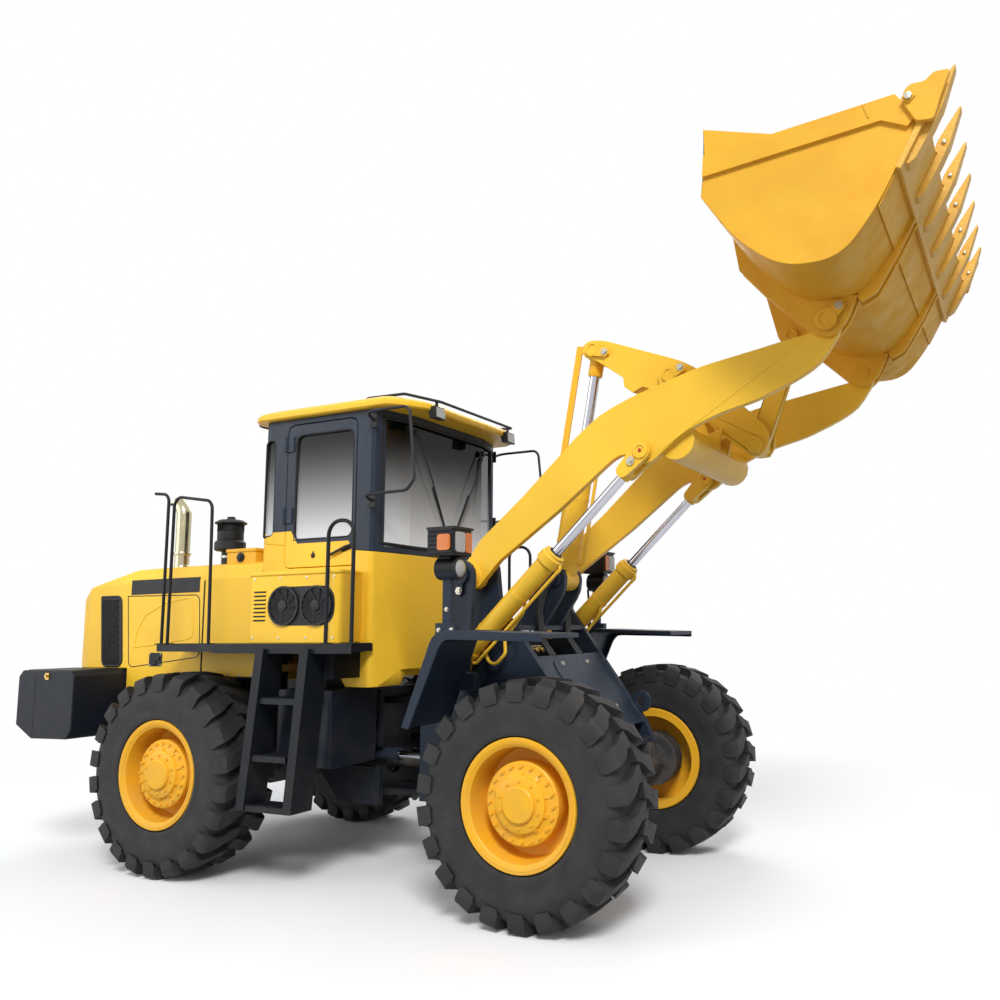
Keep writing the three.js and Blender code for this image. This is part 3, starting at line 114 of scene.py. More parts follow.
def make_floor_paper():
    """Pale paper that keeps the shadow near the machine and runs out into white further off."""
    paper = bpy.data.materials.new("floor_paper")
    paper.use_nodes = True
    tree = paper.node_tree
    shader = tree.nodes["Principled BSDF"]
    shader.inputs["Roughness"].default_value = 0.9
    shown = seen_directly(tree)
    tone = tree.nodes.new("ShaderNodeMix")
    tone.data_type = "RGBA"
    tone.inputs[6].default_value = (*[PAPER_SHADE] * 3, 1)
    tone.inputs[7].default_value = (*[PAPER_SHOWN] * 3, 1)
    tree.links.new(shown, tone.inputs[0])
    tree.links.new(tone.outputs[2], shader.inputs["Base Color"])
    place = tree.nodes.new("ShaderNodeTexCoord")
    away = tree.nodes.new("ShaderNodeVectorMath")
    away.operation = "LENGTH"
    tree.links.new(place.outputs["Object"], away.inputs[0])
    fade = tree.nodes.new("ShaderNodeMapRange")
    fade.interpolation_type = "SMOOTHSTEP"
    fade.inputs["From Min"].default_value = FADE_START
    fade.inputs["From Max"].default_value = FADE_END
    tree.links.new(away.outputs["Value"], fade.inputs["Value"])
    blank = tree.nodes.new("ShaderNodeEmission")
    factor = tree.nodes.new("ShaderNodeMath")
    factor.operation = "MULTIPLY"
    tree.links.new(fade.outputs["Result"], factor.inputs[0])
    tree.links.new(shown, factor.inputs[1])
    mix = tree.nodes.new("ShaderNodeMixShader")
    tree.links.new(factor.outputs[0], mix.inputs[0])
    tree.links.new(shader.outputs[0], mix.inputs[1])
    tree.links.new(blank.outputs[0], mix.inputs[2])
    tree.links.new(mix.outputs[0], tree.nodes["Material Output"].inputs["Surface"])
    return paper


def make_surroundings():
    world = bpy.data.worlds.new("studio")
    scene.world = world
    world.use_nodes = True
    tree = world.node_tree
    background = tree.nodes["Background"]
    seen = tree.nodes.new("ShaderNodeBackground")
    seen.inputs["Color"].default_value = (1, 1, 1, 1)
    seen.inputs["Strength"].default_value = 1.0
    background.inputs["Color"].default_value = SKY_COLOUR
    background.inputs["Strength"].default_value = SKY_STRENGTH
    mix = tree.nodes.new("ShaderNodeMixShader")
    tree.links.new(seen_directly(tree), mix.inputs[0])
    tree.links.new(background.outputs[0], mix.inputs[1])
    tree.links.new(seen.outputs[0], mix.inputs[2])
    tree.links.new(mix.outputs[0], tree.nodes["World Output"].inputs["Surface"])
    mesh = bpy.data.meshes.new("floor")
    corners = [(x * FLOOR_HALF, y * FLOOR_HALF, 0) for x, y in ((-1, -1), (1, -1), (1, 1), (-1, 1))]
    mesh.from_pydata(corners, [], [(0, 1, 2, 3)])
    floor = bpy.data.objects.new("floor", mesh)
    scene.collection.objects.link(floor)
    mesh.materials.append(make_floor_paper())
    for name, lamp_of in LAMPS.items():
        light = bpy.data.lights.new(name, "AREA")
        light.energy, light.size = lamp_of["watts"], lamp_of["size"]
        lamp = bpy.data.objects.new(name, light)
        scene.collection.objects.link(lamp)
        lamp.location = lamp_of["place"]
        lamp.rotation_mode = "QUATERNION"
        lamp.rotation_quaternion = (LAMP_AIM - lamp.location).to_track_quat("-Z", "Y")


make_surroundings()


# ------------------------------------------------------------------ shader groups
def shader_group(name, inputs, outputs):
    group = bpy.data.node_groups.new(name, "ShaderNodeTree")
    for label, kind, value in inputs:
        socket = group.interface.new_socket(label, in_out="INPUT", socket_type=kind)
        socket.default_value = value
    for label, kind in outputs:
        group.interface.new_socket(label, in_out="OUTPUT", socket_type=kind)
    return group, group.nodes.new("NodeGroupInput"), group.nodes.new("NodeGroupOutput")


def noise(tree, scale, detail, place):
    texture = tree.nodes.new("ShaderNodeTexNoise")
    texture.inputs["Scale"].default_value = scale
    texture.inputs["Detail"].default_value = detail
    tree.links.new(place, texture.inputs["Vector"])
    return texture.outputs["Fac"]


def spread(tree, value, low, high, to_low, to_high):
    ramp = tree.nodes.new("ShaderNodeMapRange")
    ramp.clamp = True
    for label, number in zip(
        ("From Min", "From Max", "To Min", "To Max"), (low, high, to_low, to_high)
    ):
        ramp.inputs[label].default_value = number
    tree.links.new(value, ramp.inputs["Value"])
    return ramp.outputs["Result"]


def maths(tree, operation, first, second):
    step = tree.nodes.new("ShaderNodeMath")
    step.operation = operation
    for socket, value in zip(step.inputs, (first, second)):
        if isinstance(value, (int, float)):
            socket.default_value = value
        else:
            tree.links.new(value, socket)
    return step.outputs[0]


def blend_colours(tree, factor, first, second):
    mix = tree.nodes.new("ShaderNodeMix")
    mix.data_type = "RGBA"
    for socket, value in zip((mix.inputs[0], mix.inputs[6], mix.inputs[7]), (factor, first, second)):
        if isinstance(value, (int, float, tuple)):
            socket.default_value = value
        else:
            tree.links.new(value, socket)
    return mix.outputs[2]


def object_place(tree):
    return tree.nodes.new("ShaderNodeTexCoord").outputs["Object"]


def height_of(tree):
    apart = tree.nodes.new("ShaderNodeSeparateXYZ")
    tree.links.new(object_place(tree), apart.inputs[0])
    return apart.outputs["Z"]


def build_weathering():
    """Slow tone changes, road dust that thins out upwards, and a fine surface grain. On the bucket the
    same patches, in orange-brown, are painted shade.
    """
    group, given, made = shader_group(
        "weathering",
        [
            ("Paint", "NodeSocketColor", (0.5, 0.5, 0.5, 1)),
            ("Dust", "NodeSocketColor", (0.30, 0.24, 0.17, 1)),
            ("Dust Amount", "NodeSocketFloat", 0.3),
            ("Dust Top", "NodeSocketFloat", 1.2),
            ("Gloss Roughness", "NodeSocketFloat", 0.35),
            ("Grain Scale", "NodeSocketFloat", 220.0),
        ],
        [("Color", "NodeSocketColor"), ("Roughness", "NodeSocketFloat"), ("Height", "NodeSocketFloat")],
    )
    place = object_place(group)
    tone = spread(group, noise(group, 1.7, 2, place), 0.3, 0.7, 0.90, 1.06)
    varied = group.nodes.new("ShaderNodeHueSaturation")
    group.links.new(tone, varied.inputs["Value"])
    group.links.new(given.outputs["Paint"], varied.inputs["Color"])
    low_down = group.nodes.new("ShaderNodeMapRange")
    low_down.clamp = True
    low_down.inputs["From Min"].default_value = 0.05
    low_down.inputs["To Min"].default_value = 1.0
    low_down.inputs["To Max"].default_value = 0.0
    group.links.new(height_of(group), low_down.inputs["Value"])
    group.links.new(given.outputs["Dust Top"], low_down.inputs["From Max"])
    patches = spread(group, noise(group, 7.0, 6, place), 0.42, 0.68, 0.0, 1.0)
    dust_and_shade_patches = maths(
        group,
        "MULTIPLY",
        maths(group, "MULTIPLY", low_down.outputs["Result"], patches),
        given.outputs["Dust Amount"],
    )
    group.links.new(
        blend_colours(group, dust_and_shade_patches, varied.outputs["Color"], given.outputs["Dust"]),
        made.inputs["Color"],
    )
    smears = spread(group, noise(group, 12.0, 4, place), 0.3, 0.7, -0.05, 0.07)
    rough = maths(
        group,
        "ADD",
        maths(group, "ADD", given.outputs["Gloss Roughness"], smears),
        maths(group, "MULTIPLY", dust_and_shade_patches, 0.5),
    )
    group.links.new(rough, made.inputs["Roughness"])
    grain = group.nodes.new("ShaderNodeTexNoise")
    grain.inputs["Detail"].default_value = 2
    group.links.new(place, grain.inputs["Vector"])
    group.links.new(given.outputs["Grain Scale"], grain.inputs["Scale"])
    group.links.new(grain.outputs["Fac"], made.inputs["Height"])
    return group


weathering = build_weathering()
ROAD_DUST = (0.30, 0.24, 0.17)


def finish(
    name, colour, rough=0.35, metal=0.0, coat=0.0, dust=0.25, dust_top=1.2, grain=220.0, bump=0.02,
    height=None, shine=0.5, dust_and_shade_colour=ROAD_DUST,
):
    """A painted, moulded or bare surface with its weathering and grain."""
    material = bpy.data.materials.new(name)
    material.use_nodes = True
    tree = material.node_tree
    shader = tree.nodes["Principled BSDF"]
    worn = tree.nodes.new("ShaderNodeGroup")
    worn.node_tree = weathering
    worn.inputs["Paint"].default_value = (*colour, 1)
    worn.inputs["Dust"].default_value = (*dust_and_shade_colour, 1)
    worn.inputs["Dust Amount"].default_value = dust
    worn.inputs["Dust Top"].default_value = dust_top
    worn.inputs["Gloss Roughness"].default_value = rough
    worn.inputs["Grain Scale"].default_value = grain
    tree.links.new(worn.outputs["Color"], shader.inputs["Base Color"])
    tree.links.new(worn.outputs["Roughness"], shader.inputs["Roughness"])
    shader.inputs["Metallic"].default_value = metal
    shader.inputs["Coat Weight"].default_value = coat
    shader.inputs["Coat Roughness"].default_value = 0.08
    shader.inputs["Specular IOR Level"].default_value = shine
    relief = tree.nodes.new("ShaderNodeBump")
    relief.inputs["Strength"].default_value = 0.5
    relief.inputs["Distance"].default_value = bump * 0.05
    tree.links.new(height(tree) if height else worn.outputs["Height"], relief.inputs["Height"])
    tree.links.new(relief.outputs["Normal"], shader.inputs["Normal"])
    return material


def sill_border(tree):
    """Height of the colour change on the cab, higher behind the door window and lower in front of it."""
    apart = tree.nodes.new("ShaderNodeSeparateXYZ")
    tree.links.new(object_place(tree), apart.inputs[0])
    behind = spread(tree, apart.outputs["X"], PIN_X - 0.675, PIN_X - 0.615, 0.090, 0.0)
    ahead = spread(tree, apart.outputs["X"], PIN_X - 0.165, PIN_X - 0.105, 0.0, -0.100)
    return maths(tree, "ADD", maths(tree, "ADD", behind, ahead), 2.200)


def two_tone(name, upper, lower, border, **more):
    """One paint above a border and another below it."""
    material = finish(name, upper, **more)
    tree = material.node_tree
    worn = next(n for n in tree.nodes if n.type == "GROUP")
    above = maths(tree, "GREATER_THAN", height_of(tree), border(tree))
    tree.links.new(blend_colours(tree, above, (*lower, 1), (*upper, 1)), worn.inputs["Paint"])
    return material


def diamond_height(tree):
    """Raised chequer pattern of a treadplate."""
    wave = tree.nodes.new("ShaderNodeTexWave")
    wave.bands_direction = "DIAGONAL"
    wave.inputs["Scale"].default_value = 14
    tree.links.new(object_place(tree), wave.inputs["Vector"])
    crossing = tree.nodes.new("ShaderNodeTexChecker")
    crossing.inputs["Scale"].default_value = 48
    tree.links.new(object_place(tree), crossing.inputs["Vector"])
    return maths(tree, "MULTIPLY", wave.outputs["Fac"], crossing.outputs["Fac"])


def cloth_height(tree):
    weave = tree.nodes.new("ShaderNodeTexVoronoi")
    weave.inputs["Scale"].default_value = 260
    tree.links.new(object_place(tree), weave.inputs["Vector"])
    return weave.outputs["Distance"]


YELLOW = (0.900, 0.540, 0.036)
ARM_YELLOW = (0.870, 0.520, 0.040)
ORANGE = (0.860, 0.440, 0.022)
SLATE = (0.016, 0.025, 0.042)
yellow = finish("yellow_paint", YELLOW, 0.38, coat=0.04, dust=0.12, shine=0.22)
arm_yellow = finish(
    "arm_yellow_paint", ARM_YELLOW, 0.40, coat=0.04, dust=0.06, dust_top=1.5, shine=0.25,
)
# The bucket's orange-brown patches are painted shade: darker orange spread at random over the whole
# bucket, standing in for the warm shade under it.
bucket_paint = finish(
    "bucket_paint", (0.760, 0.405, 0.032), 0.48, dust=0.60, dust_top=9.0, shine=0.22,
    dust_and_shade_colour=(0.70, 0.30, 0.025),
)
rim_yellow = finish("rim_paint", ORANGE, 0.40, coat=0.03, dust=0.22, dust_top=1.5, shine=0.25)
slate = finish("slate_paint", SLATE, 0.40, coat=0.03, dust=0.08, shine=0.22)
# Slate darkened as painted shade: the deep shade on the rear frame, also given to the counterweight.
slate_painted_shade = finish("slate_painted_shade", (0.008, 0.011, 0.018), 0.42, dust=0.10, shine=0.22)
door_paint = two_tone(
    "door_paint", SLATE, YELLOW, sill_border, rough=0.38, coat=0.04, dust=0.08, shine=0.22,
)
fender_paint = two_tone(
    "fender_paint", (0.008, 0.009, 0.011), SLATE, lambda tree: 1.930, rough=0.45, dust=0.08, shine=0.22,
)
ladder_black = finish("ladder_black", (0.007, 0.009, 0.012), 0.44, dust=0.08, shine=0.22)
black = finish(
    "black_plastic", (0.009, 0.010, 0.012), 0.52, dust=0.08, grain=500, bump=0.04, shine=0.35,
)
rubber = finish(
    "tyre_rubber", (0.018, 0.018, 0.019), 0.66, dust=0.16, dust_top=1.9, grain=90, bump=0.12,
    shine=0.35, dust_and_shade_colour=(0.13, 0.12, 0.10),
)
seal = finish("rubber_seal", (0.010, 0.010, 0.011), 0.7, dust=0.1, shine=0.3)
hose = finish("hose_rubber", (0.013, 0.013, 0.014), 0.5, dust=0.2, grain=400, bump=0.05, shine=0.4)
chrome = finish("rod_chrome", (0.50, 0.50, 0.55), 0.12, metal=1.0, dust=0.05, bump=0.004)
pipe_steel = finish("pipe_steel", (0.50, 0.45, 0.30), 0.24, metal=1.0, dust=0.05, bump=0.01)
steel = finish("zinc_steel", (0.50, 0.47, 0.40), 0.34, metal=1.0, dust=0.2, bump=0.03)
brass = finish("brass_fitting", (0.62, 0.42, 0.13), 0.3, metal=1.0, dust=0.2)
iron = finish(
    "cast_iron", (0.030, 0.030, 0.033), 0.6, metal=0.0, dust=0.45, dust_top=1.4, grain=60, bump=0.18,
)
treadplate = finish(
    "treadplate", (0.010, 0.011, 0.014), 0.46, dust=0.12, dust_top=2.0, bump=0.05,
    height=diamond_height, shine=0.22,
)
cloth = finish("seat_cloth", (0.025, 0.026, 0.030), 0.85, dust=0.0, bump=0.05, height=cloth_height)
worn_steel = finish(
    "worn_edge_paint", (0.720, 0.400, 0.050), 0.50, dust=0.30, dust_top=5.0, grain=40, bump=0.15,
)


GLASS_ROUGHNESS = 0.03


def clear_glass(name, top, bottom, low, high, transmission, bend=1.45):
    """Glass whose colour changes from its lower edge to its upper edge. Where the two colours differ,
    the pale colour at the lower edge is a painted reflection.
    """
    material = bpy.data.materials.new(name)
    material.use_nodes = True
    tree = material.node_tree
    shader = tree.nodes["Principled BSDF"]
    painted_reflection_mix = maths(tree, "POWER", spread(tree, height_of(tree), low, high, 1.0, 0.0), 2.0)
    tree.links.new(blend_colours(tree, painted_reflection_mix, (*top, 1), (*bottom, 1)), shader.inputs["Base Color"])
    streak = spread(
        tree, noise(tree, 3.0, 2, object_place(tree)), 0.3, 0.7, GLASS_ROUGHNESS,
        GLASS_ROUGHNESS + 0.03,
    )
    tree.links.new(streak, shader.inputs["Roughness"])
    shader.inputs["Transmission Weight"].default_value = transmission
    shader.inputs["IOR"].default_value = bend
    return material


# Window glass, near black at the top and near white towards its lower edge: the pale lower part is a
# painted reflection of the ground.
glass_painted_reflection = clear_glass(
    "tinted_glass", (0.003, 0.004, 0.004), (0.84, 0.86, 0.88), 2.18, 2.98, 0.10, bend=1.22,
)
lens = clear_glass("lamp_lens", (0.9, 0.9, 0.88), (0.9, 0.9, 0.88), 0, 1, 0.6)
amber = clear_glass("amber_lens", (0.9, 0.22, 0.01), (0.9, 0.22, 0.01), 0, 1, 0.35)
red = clear_glass("red_lens", (0.6, 0.01, 0.01), (0.6, 0.01, 0.01), 0, 1, 0.35)


# ------------------------------------------------------------------ shapes
class Shape:
    """Closed solids gathered into one mesh."""

    def __init__(self):
        self.mesh = bmesh.new()

    def faces(self, points, loops):
        made = [self.mesh.verts.new(p) for p in points]
        for loop in loops:
            self.mesh.faces.new([made[i] for i in loop])

    def loft(self, rings, closed=False):
        """Skins rings of equal length, with a cap at both ends unless the skin closes on itself."""
        size, count = len(rings[0]), len(rings)
        points = [p for ring in rings for p in ring]
        loops = []
        for k in range(count if closed else count - 1):
            first, second = k * size, ((k + 1) % count) * size
            for i in range(size):
                j = (i + 1) % size
                loops.append((first + i, first + j, second + j, second + i))
        if not closed:
            loops.append(tuple(range(size))[::-1])
            loops.append(tuple(range((count - 1) * size, count * size)))
        self.faces(points, loops)

    def box(self, x0, x1, y0, y1, z0, z1):
        self.loft([[at(x, y0, z0), at(x, y1, z0), at(x, y1, z1), at(x, y0, z1)] for x in (x0, x1)])
        return self

    def side(self, points, y0, y1):
        """An outline in (x, z), from y0 to y1."""
        self.loft([[at(x, y, z) for x, z in points] for y in (y0, y1)])
        return self

    def plan(self, points, z0, z1):
        """An outline in (x, y), from z0 to z1."""
        self.loft([[at(x, y, z) for x, y in points] for z in (z0, z1)])
        return self

    def front(self, points, x0, x1):
        """An outline in (y, z), from x0 to x1."""
        self.loft([[at(x, y, z) for y, z in points] for x in (x0, x1)])
        return self

    def turned(self, profile, base, direction, sides=48, closed=False):
        """A (radius, distance) profile turned about an axis from a point in the part's own frame."""
        turn = Vector((0, 0, 1)).rotation_difference(Vector(direction)).to_matrix()
        angles = [2 * math.pi * i / sides for i in range(sides)]
        rings = [
            [base + turn @ Vector((r * math.cos(a), r * math.sin(a), d)) for a in angles]
            for r, d in profile
        ]
        self.loft(rings, closed)
        return self

    def made_object(self, name):
        """The gathered solids as an object, with their faces outwards."""
        bmesh.ops.recalc_face_normals(self.mesh, faces=self.mesh.faces)
        data = bpy.data.meshes.new(name)
        self.mesh.to_mesh(data)
        self.mesh.free()
        made = bpy.data.objects.new(name, data)
        scene.collection.objects.link(made)
        return made

    def piece(self, name, body, slot, material, bevel):
        return settle(self.made_object(name), body, slot, material, bevel, 32)


def settle(made, body, slot, finishes, bevel, smooth, stands_for=()):
    """Gives a mesh its finishes, soft edges and body. Edges sharper than smooth degrees stay sharp."""
    data = made.data
    for material in finishes if isinstance(finishes, (list, tuple)) else [finishes]:
        data.materials.append(material)
    if smooth:
        data.shade_smooth()
        data.set_sharp_from_angle(angle=math.radians(smooth))
    if bevel:
        edge = made.modifiers.new("soft_edges", "BEVEL")
        edge.width, edge.segments, edge.limit_method = bevel, 2, "ANGLE"
        edge.angle_limit = math.radians(40)
        edge.use_clamp_overlap = False
        even = made.modifiers.new("even_faces", "WEIGHTED_NORMAL")
        even.mode, even.weight, even.keep_sharp = "FACE_AREA", 100, True
    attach(made, body)
    if stands_for:
        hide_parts(*stands_for)
    return made


def rounded(points, radius, steps=6):
    """A polygon with its corners rounded. A third number in a point is that corner's own radius."""
    out = []
    for i, point in enumerate(points):
        here = Vector(point[:2])
        before, after = Vector(points[i - 1][:2]) - here, Vector(
            points[(i + 1) % len(points)][:2]
        ) - here
        size = min(point[2] if len(point) > 2 else radius, before.length * 0.49, after.length * 0.49)
        if size <= 0:
            out.append(tuple(here))
            continue
        start, end = here + before.normalized() * size, here + after.normalized() * size
        for k in range(steps + 1):
            t = k / steps
            out.append(tuple(start * (1 - t) ** 2 + here * 2 * t * (1 - t) + end * t * t))
    return out


# ------------------------------------------------------------------ geometry node trees
def geometry_tree(name, inputs):
    tree = bpy.data.node_groups.new(name, "GeometryNodeTree")
    tree.interface.new_socket("Geometry", in_out="INPUT", socket_type="NodeSocketGeometry")
    for label, kind, value in inputs:
        socket = tree.interface.new_socket(label, in_out="INPUT", socket_type=kind)
        if value is not None:
            socket.default_value = value
    tree.interface.new_socket("Geometry", in_out="OUTPUT", socket_type="NodeSocketGeometry")
    return tree, tree.nodes.new("NodeGroupInput"), tree.nodes.new("NodeGroupOutput")


def end_tree(tree, given, made, geometry):
    real = tree.nodes.new("GeometryNodeRealizeInstances")
    painted = tree.nodes.new("GeometryNodeSetMaterial")
    tree.links.new(geometry, real.inputs[0])
    tree.links.new(real.outputs[0], painted.inputs["Geometry"])
    tree.links.new(given.outputs["Finish"], painted.inputs["Material"])
    tree.links.new(painted.outputs[0], made.inputs[0])


def build_ring_tree():
    """Copies turned about an axis through a centre."""
    tree, given, made = geometry_tree(
        "copies_in_a_ring",
        [
            ("Count", "NodeSocketInt", 8),
            ("Centre", "NodeSocketVector", (0, 0, 0)),
            ("Axis", "NodeSocketVector", (0, 1, 0)),
            ("Finish", "NodeSocketMaterial", None),
        ],
    )
    line = tree.nodes.new("GeometryNodeMeshLine")
    tree.links.new(given.outputs["Count"], line.inputs["Count"])
    line.inputs["Offset"].default_value = (0, 0, 0)
    index = tree.nodes.new("GeometryNodeInputIndex")
    turn = maths(
        tree, "MULTIPLY", maths(tree, "DIVIDE", index.outputs[0], given.outputs["Count"]), 2 * math.pi
    )
    angles = tree.nodes.new("ShaderNodeVectorMath")
    angles.operation = "SCALE"
    tree.links.new(given.outputs["Axis"], angles.inputs[0])
    tree.links.new(turn, angles.inputs["Scale"])
    copies = tree.nodes.new("GeometryNodeInstanceOnPoints")
    tree.links.new(line.outputs[0], copies.inputs["Points"])
    tree.links.new(given.outputs["Geometry"], copies.inputs["Instance"])
    tree.links.new(angles.outputs[0], copies.inputs["Rotation"])
    moved = tree.nodes.new("GeometryNodeTransform")
    tree.links.new(copies.outputs[0], moved.inputs["Geometry"])
    tree.links.new(given.outputs["Centre"], moved.inputs["Translation"])
    end_tree(tree, given, made, moved.outputs[0])
    return tree


def build_row_tree():
    """Copies at equal steps from where the first one stands."""
    tree, given, made = geometry_tree(
        "copies_in_a_row",
        [
            ("Count", "NodeSocketInt", 4),
            ("Step", "NodeSocketVector", (0.1, 0, 0)),
            ("Finish", "NodeSocketMaterial", None),
        ],
    )
    line = tree.nodes.new("GeometryNodeMeshLine")
    tree.links.new(given.outputs["Count"], line.inputs["Count"])
    tree.links.new(given.outputs["Step"], line.inputs["Offset"])
    copies = tree.nodes.new("GeometryNodeInstanceOnPoints")
    tree.links.new(line.outputs[0], copies.inputs["Points"])
    tree.links.new(given.outputs["Geometry"], copies.inputs["Instance"])
    end_tree(tree, given, made, copies.outputs[0])
    return tree


def build_tube_tree():
    """A round tube along a path with bent corners."""
    tree, given, made = geometry_tree(
        "tube_on_a_path",
        [
            ("Radius", "NodeSocketFloat", 0.016),
            ("Bend", "NodeSocketFloat", 0.08),
            ("Sides", "NodeSocketInt", 16),
            ("Finish", "NodeSocketMaterial", None),
        ],
    )
    bent = tree.nodes.new("GeometryNodeFilletCurve")
    bent.mode = "POLY"
    bent.inputs["Count"].default_value = 6
    bent.inputs["Limit Radius"].default_value = True
    tree.links.new(given.outputs["Geometry"], bent.inputs["Curve"])
    tree.links.new(given.outputs["Bend"], bent.inputs["Radius"])
    section = tree.nodes.new("GeometryNodeCurvePrimitiveCircle")
    tree.links.new(given.outputs["Sides"], section.inputs["Resolution"])
    tree.links.new(given.outputs["Radius"], section.inputs["Radius"])
    skin = tree.nodes.new("GeometryNodeCurveToMesh")
    skin.inputs["Fill Caps"].default_value = True
    tree.links.new(bent.outputs[0], skin.inputs["Curve"])
    tree.links.new(section.outputs["Curve"], skin.inputs["Profile Curve"])
    end_tree(tree, given, made, skin.outputs[0])
    return tree


ring_tree = build_ring_tree()
row_tree = build_row_tree()
tube_tree = build_tube_tree()


def run_tree(source, tree, name, values):
    """Runs a tree on an object and returns the result as a plain mesh object."""
    modifier = source.modifiers.new("tree", "NODES")
    modifier.node_group = tree
    sockets = {s.name: s.identifier for s in tree.interface.items_tree if s.in_out == "INPUT"}
    for label, value in values.items():
        modifier[sockets[label]] = value
    graph = bpy.context.evaluated_depsgraph_get()
    data = bpy.data.meshes.new_from_object(source.evaluated_get(graph))
    data.name = name
    made = bpy.data.objects.new(name, data)
    scene.collection.objects.link(made)
    bpy.data.objects.remove(source)
    return made


def path_object(points):
    curve = bpy.data.curves.new("path", "CURVE")
    curve.dimensions = "3D"
    spline = curve.splines.new("POLY")
    spline.points.add(len(points) - 1)
    for knot, point in zip(spline.points, points):
        knot.co = (*at(*point), 1)
    made = bpy.data.objects.new("path", curve)
    scene.collection.objects.link(made)
    return made


def joined(parts, name, body, slot, smooth=40, bevel=0.0, stands_for=()):
    """Several made meshes as one piece on one body."""
    gathered = bmesh.new()
    materials = []
    for part in parts:
        start = len(gathered.faces)
        gathered.from_mesh(part.data)
        gathered.faces.ensure_lookup_table()
        own = [m for m in part.data.materials if m]
        for face in gathered.faces[start:]:
            material = own[min(face.material_index, len(own) - 1)]
            if material not in materials:
                materials.append(material)
            face.material_index = materials.index(material)
        bpy.data.objects.remove(part)
    data = bpy.data.meshes.new(name)
    gathered.to_mesh(data)
    gathered.free()
    made = bpy.data.objects.new(name, data)
    scene.collection.objects.link(made)
    return settle(made, body, slot, materials, bevel, smooth, stands_for)


def tube(points, radius, material, bend=0.08, sides=16):
    return run_tree(
        path_object(points),
        tube_tree,
        "tube",
        {"Radius": radius, "Bend": bend, "Sides": sides, "Finish": material},
    )


def row(shape, count, step, material):
    return run_tree(
        shape.made_object("one"), row_tree, "row", {"Count": count, "Step": step, "Finish": material}
    )


def ring(shape, count, centre, material, axis=(0.0, 1.0, 0.0)):
    return run_tree(
        shape.made_object("one"),
        ring_tree,
        "ring",
        {"Count": count, "Centre": centre, "Axis": axis, "Finish": material},
    )


def painted(shape, material):
    made = shape.made_object("one")
    made.data.materials.append(material)
    return made


def mirrored(points):
    return [(x, -y, z) for x, y, z in points]


def bolt(shape, place, outward, radius=0.012, height=0.009):
    """A hexagon head on its washer."""
    shape.turned(
        [(radius * 1.5, 0), (radius * 1.5, 0.002), (radius, 0.002), (radius, height)],
        at(*place),
        outward,
        6,
    )


# ------------------------------------------------------------------ refined copies of the solids
FLAT_WITHIN = math.radians(0.6)
CURVED_BELOW = math.radians(30)


def refined(name, body, slot, material, bevel):
    """A copy of a solid with merged corners, softened edges and its finish, standing for that solid."""
    source = node[name]
    work = bmesh.new()
    work.from_mesh(source.data)
    bmesh.ops.remove_doubles(work, verts=work.verts, dist=2e-5)
    bmesh.ops.dissolve_limit(work, angle_limit=FLAT_WITHIN, verts=work.verts, edges=work.edges)
    bmesh.ops.triangulate(
        work, faces=[face for face in work.faces if len(face.verts) > 4], ngon_method="EAR_CLIP"
    )
    for face in work.faces:
        face.material_index = 0
        face.smooth = any(0.01 < edge.calc_face_angle(0.0) < CURVED_BELOW for edge in face.edges)
    data = bpy.data.meshes.new(name + "_skin")
    work.to_mesh(data)
    work.free()
    data.set_sharp_from_angle(angle=CURVED_BELOW)
    made = bpy.data.objects.new(name + "_skin", data)
    scene.collection.objects.link(made)
    return settle(made, body, slot, material, bevel, None, (name,))


REFINED = [
    # The rear frame and counterweight take the slate darkened as painted shade.
    ("rear_frame", "rear_chassis", "slate_paint", slate_painted_shade, 0.003),
    ("counterweight", "rear_chassis", "slate_paint", slate_painted_shade, 0.006),
    ("engine_hood", "rear_chassis", "yellow_paint", yellow, 0.008),
    ("cowl", "rear_chassis", "yellow_paint", yellow, 0.005),
    ("cab_base", "rear_chassis", "yellow_paint", yellow, 0.005),
    ("cab_frame", "rear_chassis", "slate_paint", door_paint, 0.004),
    ("condenser_box", "rear_chassis", "yellow_paint", yellow, 0.010),
    ("steering_column", "rear_chassis", "black_plastic", black, 0.006),
    ("right_door", "right_door", "slate_paint", door_paint, 0.004),
    ("left_door", "left_door", "slate_paint", door_paint, 0.004),
    ("front_frame", "front_chassis", "slate_paint", slate, 0.003),
    ("right_front_fender", "front_chassis", "slate_paint", fender_paint, 0.003),
    ("left_front_fender", "front_chassis", "slate_paint", fender_paint, 0.003),
    ("lift_arms", "lift_arms", "yellow_paint", arm_yellow, 0.004),
    ("bellcrank", "bellcrank", "yellow_paint", arm_yellow, 0.003),
    ("tilt_link", "tilt_link", "yellow_paint", arm_yellow, 0.003),
    ("bucket", "bucket", "yellow_paint", bucket_paint, 0.003),
    ("front_axle", "front_chassis", "dark_iron", iron, 0.004),
    ("rear_axle", "rear_chassis", "dark_iron", iron, 0.004),
    ("transmission", "rear_chassis", "dark_iron", iron, 0.004),
    ("engine_block", "rear_chassis", "dark_iron", iron, 0.008),
]
for node_name, body, slot, material, bevel in REFINED:
    refined(node_name, body, slot, material, bevel)


def carry_over(name, material):
    """A solid that shows as it is, with its own finish."""
    for holder in node[name].material_slots:
        holder.material = material


for pane in (
    "windscreen", "rear_window", "right_quarter_window", "left_quarter_window", "right_door_glass",
    "left_door_glass",
):
    carry_over(pane, glass_painted_reflection)
carry_over("radiator_grille", black)


# ------------------------------------------------------------------ wheels
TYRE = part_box("front_left_tyre")
TYRE_RADIUS = (TYRE[1].z - TYRE[0].z) / 2
TYRE_HALF = (TYRE[1].y - TYRE[0].y) / 2
TREAD_DEPTH = 0.046
TREAD_BASE = TYRE_RADIUS - TREAD_DEPTH
LUGS = 22


